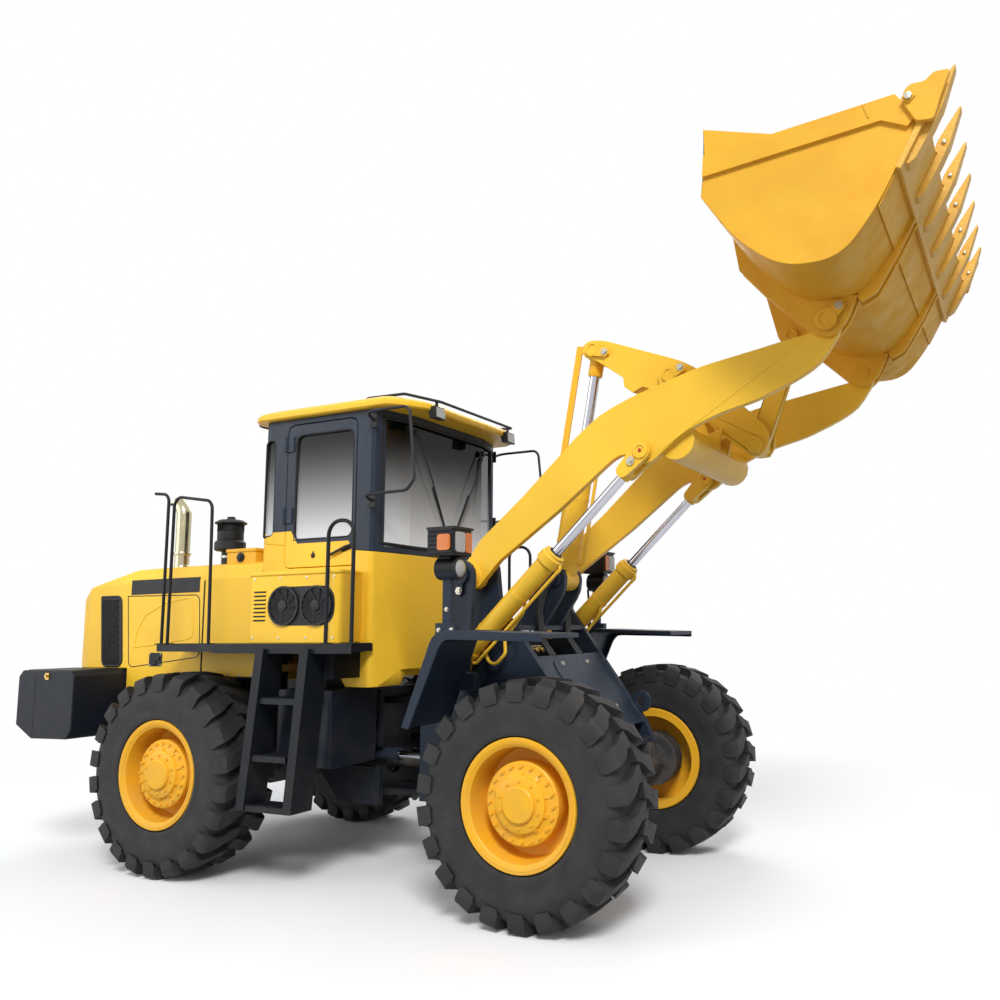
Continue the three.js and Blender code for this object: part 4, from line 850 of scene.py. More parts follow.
def carcass(centre, outward):
    """The tyre without its tread, turned about the axle."""
    h, base = TYRE_HALF, TREAD_BASE
    half_section = [
        (0.326, 0.172), (0.358, 0.176), (0.366, 0.204), (0.385, 0.211), (0.40, 0.208),
        (0.44, h - 0.010), (0.50, h - 0.004), (0.555, h - 0.010), (0.590, h - 0.026),
        (base - 0.006, h - 0.056), (base, h - 0.085), (base + 0.002, 0.0),
    ]
    section = half_section + [(q, -d) for q, d in half_section[-2::-1]]
    return Shape().turned(section, centre, outward, 96, closed=True)


def lug(side, lead):
    """One bar of the tread, from the middle of the crown over the shoulder and down the wall."""
    r, h, base = TYRE_RADIUS, TYRE_HALF, TREAD_BASE
    shape = Shape()
    stations = [
        (0.0, -0.004, base - 0.01, r), (1.5, 0.055, base - 0.01, r),
        (4.6, 0.105, base - 0.01, r - 0.001), (6.4, 0.160, base - 0.01, r - 0.003),
        (7.2, h - 0.022, base - 0.04, r - 0.010), (7.6, h - 0.002, 0.578, r - 0.036),
        (7.8, h, 0.548, 0.590),
    ]
    width = [3.9, 4.2, 4.5, 4.9, 5.3, 5.3, 4.4]
    rings = []
    for (angle, across, inner, outer), wide in zip(stations, width):
        ring_points = []
        for turn, reach in ((-wide, inner), (-wide * 0.86, outer), (wide * 0.86, outer), (wide, inner)):
            a = math.radians(angle + turn + lead)
            ring_points.append(Vector((reach * math.sin(a), side * across, reach * math.cos(a))))
        rings.append(ring_points)
    shape.loft(rings)
    return shape


def tread_tyre(name, centre, outward):
    parts = [painted(carcass(centre, outward), rubber)]
    for side, lead in ((1, 0), (-1, 180 / LUGS)):
        parts.append(ring(lug(side, lead), LUGS, centre, rubber))
    joined(
        parts, name + "_tread_tyre", name + "_wheel", "tyre_rubber", 38, stands_for=(name + "_tyre",),
    )


def wheel_disc(name, centre, hand):
    outward = Vector((0, hand, 0))
    disc = Shape()
    disc.turned(
        [
            (0.0001, 0.196), (0.090, 0.196), (0.098, 0.190), (0.100, 0.176), (0.142, 0.174),
            (0.152, 0.169), (0.156, 0.152), (0.166, 0.148), (0.216, 0.146), (0.224, 0.140),
            (0.224, 0.050), (0.214, 0.010), (0.255, 0.000), (0.290, 0.010), (0.297, 0.040),
            (0.300, 0.150), (0.306, 0.186), (0.318, 0.196), (0.330, 0.198), (0.345, 0.204),
            (0.353, 0.203), (0.3565, 0.197), (0.3565, 0.180), (0.3245, 0.176), (0.3245, -0.176),
            (0.3565, -0.180), (0.3565, -0.197), (0.350, -0.204), (0.300, -0.204), (0.296, -0.020),
            (0.200, -0.024), (0.112, -0.030), (0.112, -0.059), (0.0615, -0.059), (0.0615, 0.094),
            (0.0001, 0.094),
        ],
        centre,
        outward,
        72,
    )
    turned_disc = painted(disc, rim_yellow)

    def stud(radius, depth, size, tall):
        profile = [(size * 1.35, 0), (size * 1.35, 0.003), (size, 0.003), (size, tall)]
        return Shape().turned(profile, Vector((0, hand * depth, radius)), outward, 8)

    nuts = ring(stud(0.200, 0.146, 0.0085, 0.016), 20, centre, rim_yellow)
    cover = ring(stud(0.124, 0.174, 0.0065, 0.010), 10, centre, rim_yellow)
    ribs = Shape()
    ribs.loft(
        [
            [
                Vector((x, hand * 0.146, z))
                for x, z in ((-0.012, 0.154), (0.012, 0.154), (0.012, 0.180), (-0.012, 0.180))
            ],
            [
                Vector((x, hand * 0.164, z))
                for x, z in ((-0.010, 0.150), (0.010, 0.150), (0.010, 0.158), (-0.010, 0.158))
            ],
        ]
    )
    webs = ring(ribs, 10, centre, rim_yellow)
    lock = Shape().turned(
        [(0.322, 0.199), (0.336, 0.2035), (0.336, 0.190), (0.322, 0.190)],
        centre,
        outward,
        72,
        closed=True,
    )
    parts = [turned_disc, nuts, cover, webs, painted(lock, rim_yellow)]
    joined(
        parts, name + "_wheel_disc", name + "_wheel", "orange_paint", 34, stands_for=(name + "_rim",),
    )


def wheel(name, hand):
    low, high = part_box(name + "_rim")
    centre = (low + high) / 2
    low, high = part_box(name + "_tyre")
    centre.y = (low.y + high.y) / 2
    tread_tyre(name, centre, Vector((0, hand, 0)))
    wheel_disc(name, centre, hand)


for end in ("front", "rear"):
    for hand in (RIGHT, LEFT):
        wheel(f"{end}_{side_of(hand)}", hand)

# ------------------------------------------------------------------ cylinders
# Pivots of the loading arms and their linkage, each (x, z).
ARM_PIVOT = (0.700, 1.940)
BUCKET_PIN = (3.030, 3.260)
LIFT_BASE = (0.600, 1.375)
LIFT_EYE = (1.920, 2.635)
TILT_BASE = (1.070, 1.930)
TILT_EYE = (1.350, 3.487)
CRANK_PIVOT = (1.910, 3.230)
LINK_PIN = (2.455, 2.720)
BUCKET_LINK_PIN = (2.710, 3.380)
ARM_Y = 0.585


def ram(name, start, end, y, barrel, head, eye, rod, barrel_end, head_end, half, body_finish, slot):
    """A hydraulic cylinder between two points, each (x, z)."""
    way = Vector((end[0] - start[0], 0, end[1] - start[1]))
    length = way.length
    way.normalize()
    base = at(start[0], y, start[1])
    tube_shape = Shape()
    tube_shape.turned(
        [
            (0.02, 0.03), (barrel * 0.8, 0.035), (barrel, 0.07), (barrel, barrel_end - 0.004),
            (head - 0.006, barrel_end - 0.002), (head, barrel_end + 0.004), (head, head_end - 0.030),
            (head - 0.010, head_end - 0.020), (head - 0.010, head_end - 0.006), (rod + 0.012, head_end),
            (rod + 0.002, head_end), (rod + 0.002, barrel_end),
        ],
        base,
        way,
        48,
    )
    tube_shape.turned([(barrel + 0.006, 0.13), (barrel + 0.006, 0.155)], base, way, 48)
    eye_way = Vector((0, 1, 0))
    tube_shape.turned(
        [
            (0.036, -half), (eye - 0.004, -half), (eye, -half + 0.004), (eye, half - 0.004),
            (eye - 0.004, half), (0.036, half),
        ],
        base,
        eye_way,
        40,
        closed=True,
    )
    gland = Shape().turned(
        [
            (rod + 0.0005, head_end - 0.002), (rod + 0.014, head_end - 0.002),
            (rod + 0.010, head_end + 0.006), (rod + 0.0005, head_end + 0.006),
        ],
        base,
        way,
        40,
        closed=True,
    )
    bolts = Shape()
    side_way = way.cross(eye_way)
    for k in range(8):
        a = math.radians(22.5 + 45 * k)
        spot = base + way * (head_end - 0.018) + (
            eye_way * math.cos(a) + side_way * math.sin(a)
        ) * (head - 0.020)
        bolts.turned([(0.008, 0), (0.008, 0.014)], spot, way, 8)
    joined(
        [painted(tube_shape, body_finish), painted(gland, black), painted(bolts, steel)],
        name + "_tube",
        name,
        slot,
        34,
        stands_for=(name,),
    )
    return base, way, length


def lift_ram(hand):
    side = side_of(hand)
    y = ARM_Y * hand
    base, way, length = ram(
        f"{side}_lift_barrel", LIFT_BASE, LIFT_EYE, y, 0.064, 0.078, 0.070, 0.032, 0.905, 0.995, 0.080,
        arm_yellow, "yellow_paint",
    )
    lift_rod_fork(hand, base, way, length)
    lift_pipes(hand, base, way)


FORK_BACK, FORK_HALF, EYE_SIDE = 0.16, 0.071, 0.033


def lift_rod_fork(hand, base, way, length):
    """The rod and the fork at its end, whose two cheeks hold the pin on the arm."""
    side = side_of(hand)
    y = ARM_Y * hand
    parts = [painted(Shape().turned([(0.032, 0.700), (0.032, length - 0.17)], base, way, 40), chrome)]
    fork = Shape()
    foot = length - FORK_BACK
    fork.turned(
        [(0.040, foot - 0.045), (0.044, foot - 0.035), (0.044, foot), (0.036, foot + 0.02)],
        base,
        way,
        32,
    )
    centre = at(LIFT_EYE[0], 0, LIFT_EYE[1])
    along, across = way, way.cross(Vector((0, 1, 0)))
    for inner, outer in ((EYE_SIDE, FORK_HALF), (-FORK_HALF, -EYE_SIDE)):
        outline = []
        for k in range(17):
            a = math.radians(-90 + 180 * k / 16)
            outline.append(along * 0.058 * math.cos(a) + across * 0.058 * math.sin(a))
        for k in range(9):
            a = math.radians(90 + 180 * k / 8)
            outline.append(along * (-FORK_BACK + 0.042 * math.cos(a)) + across * 0.042 * math.sin(a))
        fork.loft([[centre + p + Vector((0, y + d, 0)) for p in outline] for d in (inner, outer)])
    fork.turned([(0.040, -0.073), (0.040, 0.073)], base + way * foot, (0, 1, 0), 32)
    parts.append(painted(fork, arm_yellow))
    caps = Shape()
    for d in (FORK_HALF, -FORK_HALF):
        way_out = Vector((0, math.copysign(1, d), 0))
        spot = at(LIFT_EYE[0], y + d, LIFT_EYE[1])
        caps.turned(
            [(0.047, -0.001), (0.047, 0.010), (0.030, 0.012), (0.028, 0.006), (0.0001, 0.006)],
            spot,
            way_out,
            32,
        )
    parts.append(painted(caps, arm_yellow))
    grease = Shape()
    for d in (FORK_HALF, -FORK_HALF):
        way_out = Vector((0, math.copysign(1, d), 0))
        grease.turned(
            [(0.011, 0.005), (0.011, 0.010), (0.006, 0.014), (0.0001, 0.015)],
            at(LIFT_EYE[0], y + d, LIFT_EYE[1]),
            way_out,
            16,
        )
    parts.append(painted(grease, red))
    keeper = Shape()
    d = FORK_HALF * hand
    keeper.turned(
        [(0.026, 0), (0.026, 0.010)],
        at(LIFT_EYE[0], y + d, LIFT_EYE[1]) - way * 0.085,
        (0, hand, 0),
        24,
    )
    keeper.turned(
        [(0.016, 0.010), (0.016, 0.016), (0.010, 0.016), (0.010, 0.024)],
        at(LIFT_EYE[0], y + d, LIFT_EYE[1]) - way * 0.085,
        (0, hand, 0),
        6,
    )
    parts.append(painted(keeper, steel))
    joined(
        parts, f"{side}_lift_rod_fork", f"{side}_lift_rod", "rod_chrome", 34,
        stands_for=(f"{side}_lift_rod",),
    )


def lift_pipes(hand, base, way):
    """Two pipes below the barrel, one of them with a return bend, held by two clamps."""
    side = side_of(hand)
    lateral = way.cross(Vector((0, 1, 0)))

    def on_ram(distance, up, out):
        p = base + way * distance - lateral * up + Vector((0, out, 0))
        return (p.x - PIN_X, p.y, p.z)

    inward = -hand
    pipes = [
        tube(
            [
                on_ram(0.10, 0.050, 0), on_ram(0.10, 0.092, 0), on_ram(0.90, 0.092, 0),
                on_ram(0.955, 0.098, 0), on_ram(0.955, 0.070, 0),
            ],
            0.011,
            arm_yellow,
            0.03,
        ),
        tube(
            [
                on_ram(0.62, 0.060, 0.03 * inward), on_ram(0.56, 0.090, 0.03 * inward),
                on_ram(0.36, 0.112, 0.03 * inward), on_ram(0.30, 0.185, 0.03 * inward),
                on_ram(0.16, 0.185, 0.03 * inward), on_ram(0.20, 0.062, 0.03 * inward),
            ],
            0.011,
            arm_yellow,
            0.05,
        ),
    ]
    clamps = Shape()
    for distance in (0.30, 0.62):
        clamps.turned(
            [
                (0.0600, distance), (0.0665, distance), (0.0665, distance + 0.022),
                (0.0600, distance + 0.022),
            ],
            base,
            way,
            40,
            closed=True,
        )
    joined(
        pipes + [painted(clamps, arm_yellow)], f"{side}_lift_pipes", f"{side}_lift_barrel",
        "yellow_paint", 40,
    )


for hand in (RIGHT, LEFT):
    lift_ram(hand)


def tilt_ram():
    base, way, length = ram(
        "tilt_barrel", TILT_BASE, TILT_EYE, 0.0, 0.086, 0.098, 0.074, 0.036, 0.790, 0.870, 0.0895,
        arm_yellow, "yellow_paint",
    )
    lateral = way.cross(Vector((0, 1, 0)))
    tilt_rod_eye(base, way, lateral, length)
    tilt_pipe(base, way, lateral)


def tilt_rod_eye(base, way, lateral, length):
    """The rod, the eye at its end and the level bar beside it."""
    parts = [painted(Shape().turned([(0.036, 0.660), (0.036, length - 0.15)], base, way, 40), chrome)]
    eye = Shape()
    eye.turned([(0.046, length - 0.17), (0.050, length - 0.16), (0.050, length - 0.05)], base, way, 36)
    eye.turned(
        [(0.070, -0.046), (0.074, -0.042), (0.074, 0.042), (0.070, 0.046)],
        at(TILT_EYE[0], 0, TILT_EYE[1]),
        (0, 1, 0),
        40,
    )

    def flat(back, aside):
        return base + way * (length - back) + lateral * sign * aside

    sign = -1 if lateral.x > 0 else 1
    bar_shape = [(-0.030, 0.108), (-0.030, 0.152), (0.880, 0.152), (0.880, 0.108)]
    eye.loft([[flat(b, s) + Vector((0, d, 0)) for b, s in bar_shape] for d in (-0.044, -0.030)])
    eye.loft(
        [
            [
                flat(b, s) + Vector((0, d, 0))
                for b, s in ((-0.022, 0.02), (-0.022, 0.13), (0.022, 0.13), (0.022, 0.02))
            ]
            for d in (-0.042, -0.032)
        ]
    )
    parts.append(painted(eye, rim_yellow))
    joined(parts, "tilt_rod_eye", "tilt_rod", "rod_chrome", 34, stands_for=("tilt_rod",))


def tilt_pipe(base, way, lateral):
    """The pipe along the barrel, on the side away from the level bar, with its two straps."""
    sign = 1 if lateral.x > 0 else -1

    def beside(distance, aside, y):
        p = base + way * distance + lateral * sign * aside
        return (p.x - PIN_X, y, p.z)

    pipe = tube(
        [
            beside(0.12, 0.08, 0), beside(0.12, 0.125, 0), beside(0.80, 0.125, 0),
            beside(0.83, 0.125, 0), beside(0.83, 0.09, 0),
        ],
        0.012,
        arm_yellow,
        0.03,
    )
    straps = Shape()
    for distance in (0.25, 0.55):
        straps.turned(
            [
                (0.0820, distance), (0.0890, distance), (0.0890, distance + 0.024),
                (0.0820, distance + 0.024),
            ],
            base,
            way,
            40,
            closed=True,
        )
    joined([pipe, painted(straps, arm_yellow)], "tilt_pipe", "tilt_barrel", "yellow_paint", 40)


tilt_ram()


def steering_ram(hand):
    side = side_of(hand)
    z = 0.760
    base, end = at(-0.560, 0.300 * hand, z), at(0.250, 0.330 * hand, z)
    way = (end - base).normalized()
    length = (end - base).length
    barrel = Shape()
    barrel.turned(
        [
            (0.020, 0.040), (0.022, 0.060), (0.042, 0.080), (0.042, 0.480), (0.046, 0.484),
            (0.046, 0.516), (0.030, 0.520), (0.026, 0.520), (0.026, 0.46),
        ],
        base,
        way,
        36,
    )
    barrel.turned(
        [
            (0.0265, -0.022), (0.050, -0.022), (0.052, -0.018), (0.052, 0.018), (0.050, 0.022),
            (0.0265, 0.022),
        ],
        base,
        (0, 0, 1),
        36,
        closed=True,
    )
    joined(
        [painted(barrel, slate)], f"{side}_steering_tube", f"{side}_steering_barrel", "slate_paint", 34,
        stands_for=(f"{side}_steering_barrel",),
    )
    rod = Shape().turned([(0.024, 0.300), (0.024, length - 0.045)], base, way, 32)
    eye = Shape().turned(
        [(0.050, -0.022), (0.052, -0.018), (0.052, 0.018), (0.050, 0.022)], end, (0, 0, 1), 36
    )
    joined(
        [painted(rod, chrome), painted(eye, slate)], f"{side}_steering_rod_eye", f"{side}_steering_rod",
        "rod_chrome", 34, stands_for=(f"{side}_steering_rod",),
    )


for hand in (RIGHT, LEFT):
    steering_ram(hand)


# ------------------------------------------------------------------ pins of the arms and linkage
def pin_end(shape, place, hand, radius, keeper):
    """A shouldered pin end with a grease hollow, and a keeper plate held by a bolt."""
    outward = Vector((0, hand, 0))
    shape.turned(
        [
            (radius, -0.002), (radius, 0.008), (radius * 0.94, 0.012), (radius * 0.62, 0.012),
            (radius * 0.58, 0.006), (0.0001, 0.006),
        ],
        at(*place),
        outward,
        40,
    )
    if keeper:
        x, y, z = place
        along = Vector((keeper[0], 0, keeper[1])).normalized()
        across = along.cross(outward)
        middle = at(*place)
        outline = [
            along * a + across * b
            for a, b in ((0.02, -0.030), (0.115, -0.024), (0.135, 0.0), (0.115, 0.030), (0.02, 0.044))
        ]
        shape.loft([[middle + p + outward * d for p in outline] for d in (0.0, 0.009)])


def keeper_bolt(shape, place, hand, keeper, reach):
    along = Vector((keeper[0], 0, keeper[1])).normalized()
    spot = at(*place) + along * reach
    shape.turned(
        [(0.026, 0.009), (0.026, 0.013), (0.017, 0.013), (0.017, 0.024)], spot, (0, hand, 0), 6
    )


# Each pin end: its pivot, half the width that it stands on, its radius, and its keeper's way and reach.
NO_KEEPER = (None, 0)
PIN_ENDS = {
    "arm": [(CRANK_PIVOT, 0.1285, 0.050, ((0.9, 0.4), 0.090))],
    "bellcrank": [(TILT_EYE, 0.102, 0.052, ((1, -0.35), 0.098)), (LINK_PIN, 0.102, 0.052, NO_KEEPER)],
    "bucket": [
        (BUCKET_PIN, 0.6575, 0.062, ((0.75, 0.65), 0.098)), (BUCKET_LINK_PIN, 0.1045, 0.042, NO_KEEPER)
    ],
    "tower": [
        (ARM_PIVOT, 0.710, 0.062, ((0.0, -1.0), 0.098)),
        (LIFT_BASE, 0.710, 0.048, ((1.0, -0.2), 0.098)),
        (TILT_BASE, 0.135, 0.052, NO_KEEPER),
    ],
}


def pins(group, body, slot, material):
    ends, bolts = Shape(), Shape()
    for hand in (RIGHT, LEFT):
        for (x, z), half, radius, (keeper, reach) in PIN_ENDS[group]:
            pin_end(ends, (x, half * hand, z), hand, radius, keeper)
            if keeper:
                keeper_bolt(bolts, (x, half * hand, z), hand, keeper, reach)
    joined([painted(ends, material), painted(bolts, steel)], group + "_pins", body, slot, 34)


pins("arm", "lift_arms", "yellow_paint", arm_yellow)
pins("bellcrank", "bellcrank", "yellow_paint", arm_yellow)
pins("bucket", "bucket", "yellow_paint", bucket_paint)
pins("tower", "front_chassis", "slate_paint", slate)


# ------------------------------------------------------------------ hood and cowl
HOOD_Y = 0.735


def hood_mesh(name, hand, out):
    """The side intake: a honeycomb of hexagons on a dark panel, with a rubber edge."""
    corners = [(-2.606, 1.880), (-2.385, 1.880), (-2.338, 1.352), (-2.556, 1.352)]
    panel = Shape().side(rounded(corners, 0.05), out(-0.004), out(0.0015))
    parts = [painted(panel, black)]
    pitch, count = 0.0265, 7
    for k in range(21):
        z = 1.372 + k * 0.0236
        lean = (z - 1.352) / (1.880 - 1.352)
        start = -2.541 - 0.050 * lean + (pitch / 2 if k % 2 else 0)
        cell = Shape().turned(
            [(0.0150, 0), (0.0150, 0.006), (0.0118, 0.006), (0.0118, 0)],
            at(start, out(0.0010), z),
            (0, hand, 0),
            6,
            closed=True,
        )
        parts.append(row(cell, count - k % 2, (pitch, 0, 0), black))
    parts.append(tube([(x, out(0.001), z) for x, z in corners + corners[:1]], 0.009, black, 0.05, 10))
    joined(parts, name + "_hood_mesh", "rear_chassis", "black_plastic", 30)


def hood_joints(name, out):
    """The dark band, the gaps round the side door and the raised swage on it."""
    band = Shape().side(
        rounded([(-2.277, 2.000), (-1.550, 2.004), (-1.550, 1.893), (-2.277, 1.889)], 0.004),
        out(-0.02),
        out(0.0020),
    )
    band.piece(name + "_hood_band", "rear_chassis", "black_plastic", black, 0.001)
    lines = [
        tube(
            [
                (x, out(0.0), z)
                for x, z in (
                    (-2.312, 1.880), (-1.548, 1.872), (-1.520, 1.426), (-2.263, 1.343), (-2.312, 1.880),
                )
            ],
            0.0035,
            black,
            0.05,
            8,
        )
    ]
    lines.append(tube([(-1.5, out(0.0), 1.285), (-1.5, out(0.0), 1.975)], 0.006, seal, 0.01, 8))
    joined(lines, name + "_hood_joints", "rear_chassis", "black_plastic", 40)
    swage = [
        (-2.217, 1.493), (-2.184, 1.624), (-2.105, 1.733), (-1.896, 1.819), (-1.615, 1.860),
        (-1.592, 1.561), (-1.929, 1.519), (-2.217, 1.493),
    ]
    joined(
        [tube([(x, out(-0.001), z) for x, z in swage], 0.005, yellow, 0.06, 10)],
        name + "_hood_swage",
        "rear_chassis",
        "yellow_paint",
        60,
    )


def hood_latch(name, hand, out):
    latch = Shape().side(
        rounded([(-2.04, 1.454), (-1.905, 1.454), (-1.905, 1.355), (-2.04, 1.355)], 0.012),
        out(-0.002),
        out(0.004),
    )
    pull = Shape().side(
        rounded([(-2.020, 1.425), (-1.925, 1.425), (-1.925, 1.402), (-2.020, 1.402)], 0.008),
        out(0.004),
        out(0.014),
    )
    pull.turned(
        [(0.013, 0), (0.013, 0.006), (0.009, 0.008)], at(-1.972, out(0.004), 1.377), (0, hand, 0), 24,
    )
    screws = Shape()
    for x in (-2.030, -1.915):
        for z in (1.365, 1.444):
            bolt(screws, (x, out(0.004), z), (0, hand, 0), 0.004, 0.004)
    joined(
        [painted(latch, black), painted(pull, black), painted(screws, steel)],
        name + "_hood_latch",
        "rear_chassis",
        "black_plastic",
        34,
    )


def cowl_edge(name, hand, out):
    one = Shape()
    bolt(one, (-1.455, out(0.0), 1.300), (0, hand, 0), 0.007, 0.005)
    joined(
        [row(one, 5, (0.112, 0, 0), steel)], name + "_cowl_bolts", "rear_chassis", "yellow_paint", 34,
    )
    edge = tube([(-1.475, out(0.0), 1.283), (-0.985, out(0.0), 1.283)], 0.007, seal, 0.01, 8)
    joined([edge], name + "_cowl_edging", "rear_chassis", "black_plastic", 40)


def hood_side(hand):
    name = side_of(hand)

    def out(depth):
        return HOOD_Y * hand + depth * hand

    hood_mesh(name, hand, out)
    hood_joints(name, out)
    hood_latch(name, hand, out)
    cowl_edge(name, hand, out)


for hand in (RIGHT, LEFT):
    hood_side(hand)


def hood_rear():
    slat = Shape().side(
        [(-2.892, 1.436), (-2.874, 1.452), (-2.868, 1.446), (-2.886, 1.430)], -0.512, 0.512
    )
    frame_bar = [
        (-2.880, -0.515, 1.425), (-2.880, -0.515, 1.835), (-2.880, 0.515, 1.835),
        (-2.880, 0.515, 1.425), (-2.880, -0.515, 1.425),
    ]
    post = Shape().box(-2.886, -2.872, -0.006, 0.006, 1.425, 1.835)
    joined(
        [
            row(slat, 13, (0, 0, 0.031), black),
            tube(frame_bar, 0.012, black, 0.02, 12),
            painted(post, black),
        ],
        "radiator_slats",
        "rear_chassis",
        "black_plastic",
        34,
    )


def tail_lamps():
    for hand in (RIGHT, LEFT):
        name = side_of(hand)
        shape = Shape()
        shape.box(-2.916, -2.905, 0.800 * hand, 1.080 * hand, 1.105, 1.205)
        lenses = []
        for k, (start, end, material) in enumerate(
            ((0.808, 0.895, red), (0.900, 0.985, amber), (0.990, 1.072, lens))
        ):
            cell = Shape().front(
                rounded(
                    [
                        (start * hand, 1.113), (end * hand, 1.113), (end * hand, 1.197),
                        (start * hand, 1.197),
                    ],
                    0.01,
                ),
                -2.926,
                -2.914,
            )
            lenses.append(painted(cell, material))
        joined(
            [painted(shape, black), *lenses], name + "_tail_lamp", "rear_chassis", "black_plastic", 34,
            bevel=0.002,
        )


def tow_hitch():
    jaw = rounded([(-2.915, -0.09), (-3.000, -0.06), (-3.000, 0.06), (-2.915, 0.09)], 0.03)
    hitch = Shape().plan(jaw, 0.985, 1.010)
    hitch.plan(jaw, 1.070, 1.095)
    hitch.turned(
        [(0.018, 0), (0.018, 0.150), (0.026, 0.150), (0.026, 0.165), (0.0001, 0.165)],
        at(-2.965, 0, 0.965),
        (0, 0, 1),
        24,
    )
    hitch.piece("tow_hitch", "rear_chassis", "slate_paint", slate, 0.003)


hood_rear()
tail_lamps()
tow_hitch()


def counterweight_trim():
    for hand in (RIGHT, LEFT):
        name = side_of(hand)
        outline = [
            (-2.850, 0.760 * hand), (-2.350, 0.760 * hand), (-2.350, 1.125 * hand),
            (-2.850, 1.125 * hand),
        ]
        Shape().plan(rounded(outline, 0.02), 1.334, 1.339).piece(
            name + "_counterweight_tread", "rear_chassis", "slate_paint", treadplate, 0.001,
        )
        bracket = Shape().box(-2.600, -2.560, 1.149 * hand, 1.156 * hand, 1.270, 1.318)
        bracket.box(-2.590, -2.570, 1.156 * hand, 1.170 * hand, 1.285, 1.305)
        seam = Shape().box(-2.722, -2.716, 1.1485 * hand, 1.1515 * hand, 0.870, 1.300)
        joined(
            [painted(bracket, brass), painted(seam, black)],
            name + "_counterweight_catch",
            "rear_chassis",
            "slate_paint",
            34,
        )


counterweight_trim()


def exhaust():
    shape = Shape()
    base = at(-2.125, -0.420, 2.085)
    shape.turned(
        [(0.0775, 0), (0.0775, 0.010), (0.061, 0.016), (0.059, 0.040), (0.056, 0.044)],
        base,
        (0, 0, 1),
        48,
    )
    shape.turned([(0.062, 0.120), (0.064, 0.124), (0.064, 0.142), (0.062, 0.146)], base, (0, 0, 1), 48)
    pipe = tube(
        [(-2.125, -0.42, 2.10), (-2.125, -0.42, 2.565), (-2.205, -0.42, 2.640)],
        0.0555,
        pipe_steel,
        0.10,
        48,
    )
    mouth = tube([(-2.2040, -0.42, 2.6390), (-2.2062, -0.42, 2.6410)], 0.047, black, 0.001, 48)
    joined(
        [painted(shape, pipe_steel), pipe, mouth], "exhaust_stack", "rear_chassis", "rod_chrome", 40,
        stands_for=("exhaust_pipe",),
    )


exhaust()


def precleaner():
    x, y = -1.630, -0.400
    base = at(x, y, 2.075)
    body = Shape()
    body.turned(
        [
            (0.060, 0.017), (0.060, 0.135), (0.066, 0.141), (0.106, 0.146), (0.115, 0.156),
            (0.115, 0.208), (0.104, 0.222), (0.094, 0.228),
        ],
        base,
        (0, 0, 1),
        48,
    )
    body.turned(
        [(0.094, 0.226), (0.097, 0.234), (0.097, 0.292), (0.088, 0.298), (0.086, 0.354)],
        base,
        (0, 0, 1),
        48,
    )
    body.turned(
        [
            (0.110, 0.352), (0.119, 0.357), (0.118, 0.366), (0.088, 0.384), (0.030, 0.394),
            (0.030, 0.410), (0.0001, 0.413),
        ],
        base,
        (0, 0, 1),
        48,
    )
    fin = Shape()
    fin.loft(
        [
            [
                Vector((px, py, z))
                for px, py in ((0.084, -0.002), (0.098, 0.006), (0.098, 0.010), (0.084, 0.002))
            ]
            for z in (0.294, 0.356)
        ]
    )
    fins = ring(fin, 28, base, black, (0.0, 0.0, 1.0))
    clamp = Shape().turned([(0.064, 0.090), (0.064, 0.108)], base, (0, 0, 1), 40)
    joined(
        [painted(body, black), fins, painted(clamp, steel)],
        "precleaner_bowl",
        "rear_chassis",
        "black_plastic",
        36,
        stands_for=("air_precleaner",),
    )


precleaner()


def filler_box():
    box = Shape().box(-1.393, -1.107, -0.643, -0.257, 2.094, 2.2025)
    lid = Shape().box(-1.400, -1.100, -0.650, -0.250, 2.178, 2.2045)
    plug = Shape().turned(
        [(0.034, -0.002), (0.034, 0.010), (0.022, 0.012), (0.020, 0.024), (0.0001, 0.026)],
        at(-1.25, -0.643, 2.140),
        (0, -1, 0),
        24,
    )
    joined(
        [painted(box, rim_yellow), painted(lid, rim_yellow)],
        "filler_cover",
        "rear_chassis",
        "orange_paint",
        34,
        bevel=0.006,
    )
    joined([painted(plug, black)], "filler_plug", "rear_chassis", "black_plastic", 34)


filler_box()


# ------------------------------------------------------------------ cab
def roof():
    plan = [
        (-1.050, -0.740), (-0.970, -0.800), (0.170, -0.800), (0.330, -0.550), (0.330, 0.550),
        (0.170, 0.800), (-0.970, 0.800), (-1.050, 0.740),
    ]
    curve = rounded(plan, 0.07, 5)
    middle = Vector((-0.36, 0.0))

    def level(z, inset):
        ring_points = []
        for x, y in curve:
            span = Vector((x, y)) - middle
            ring_points.append(
                at(middle.x + span.x * (1 - inset / 0.69), middle.y + span.y * (1 - inset / 0.80), z)
            )
        return ring_points

    shell = Shape()
    levels = [
        (3.0853, 0.030), (3.0853, 0.010), (3.096, 0.0), (3.120, 0.0), (3.136, 0.010), (3.150, 0.035),
        (3.172, 0.085), (3.186, 0.130), (3.190, 0.165),
    ]
    shell.loft([level(z, inset) for z, inset in levels])
    joined(
        [painted(shell, yellow)], "roof_shell", "rear_chassis", "yellow_paint", 28,
        stands_for=("cab_roof",),
    )


def roof_rails():
    near_half = [
        (-0.150, -0.640, 3.140), (-0.130, -0.655, 3.192), (0.180, -0.625, 3.196),
        (0.372, -0.470, 3.150),
    ]
    rails = [
        tube(near_half + mirrored(near_half)[::-1], 0.010, black, 0.05, 14),
        tube(
            [
                (-1.000, -0.640, 3.118), (-1.165, -0.620, 3.118), (-1.165, 0.620, 3.118),
                (-1.000, 0.640, 3.118),
            ],
            0.010,
            black,
            0.06,
            14,
        ),
    ]
    joined(rails, "roof_rails", "rear_chassis", "black_plastic", 40)


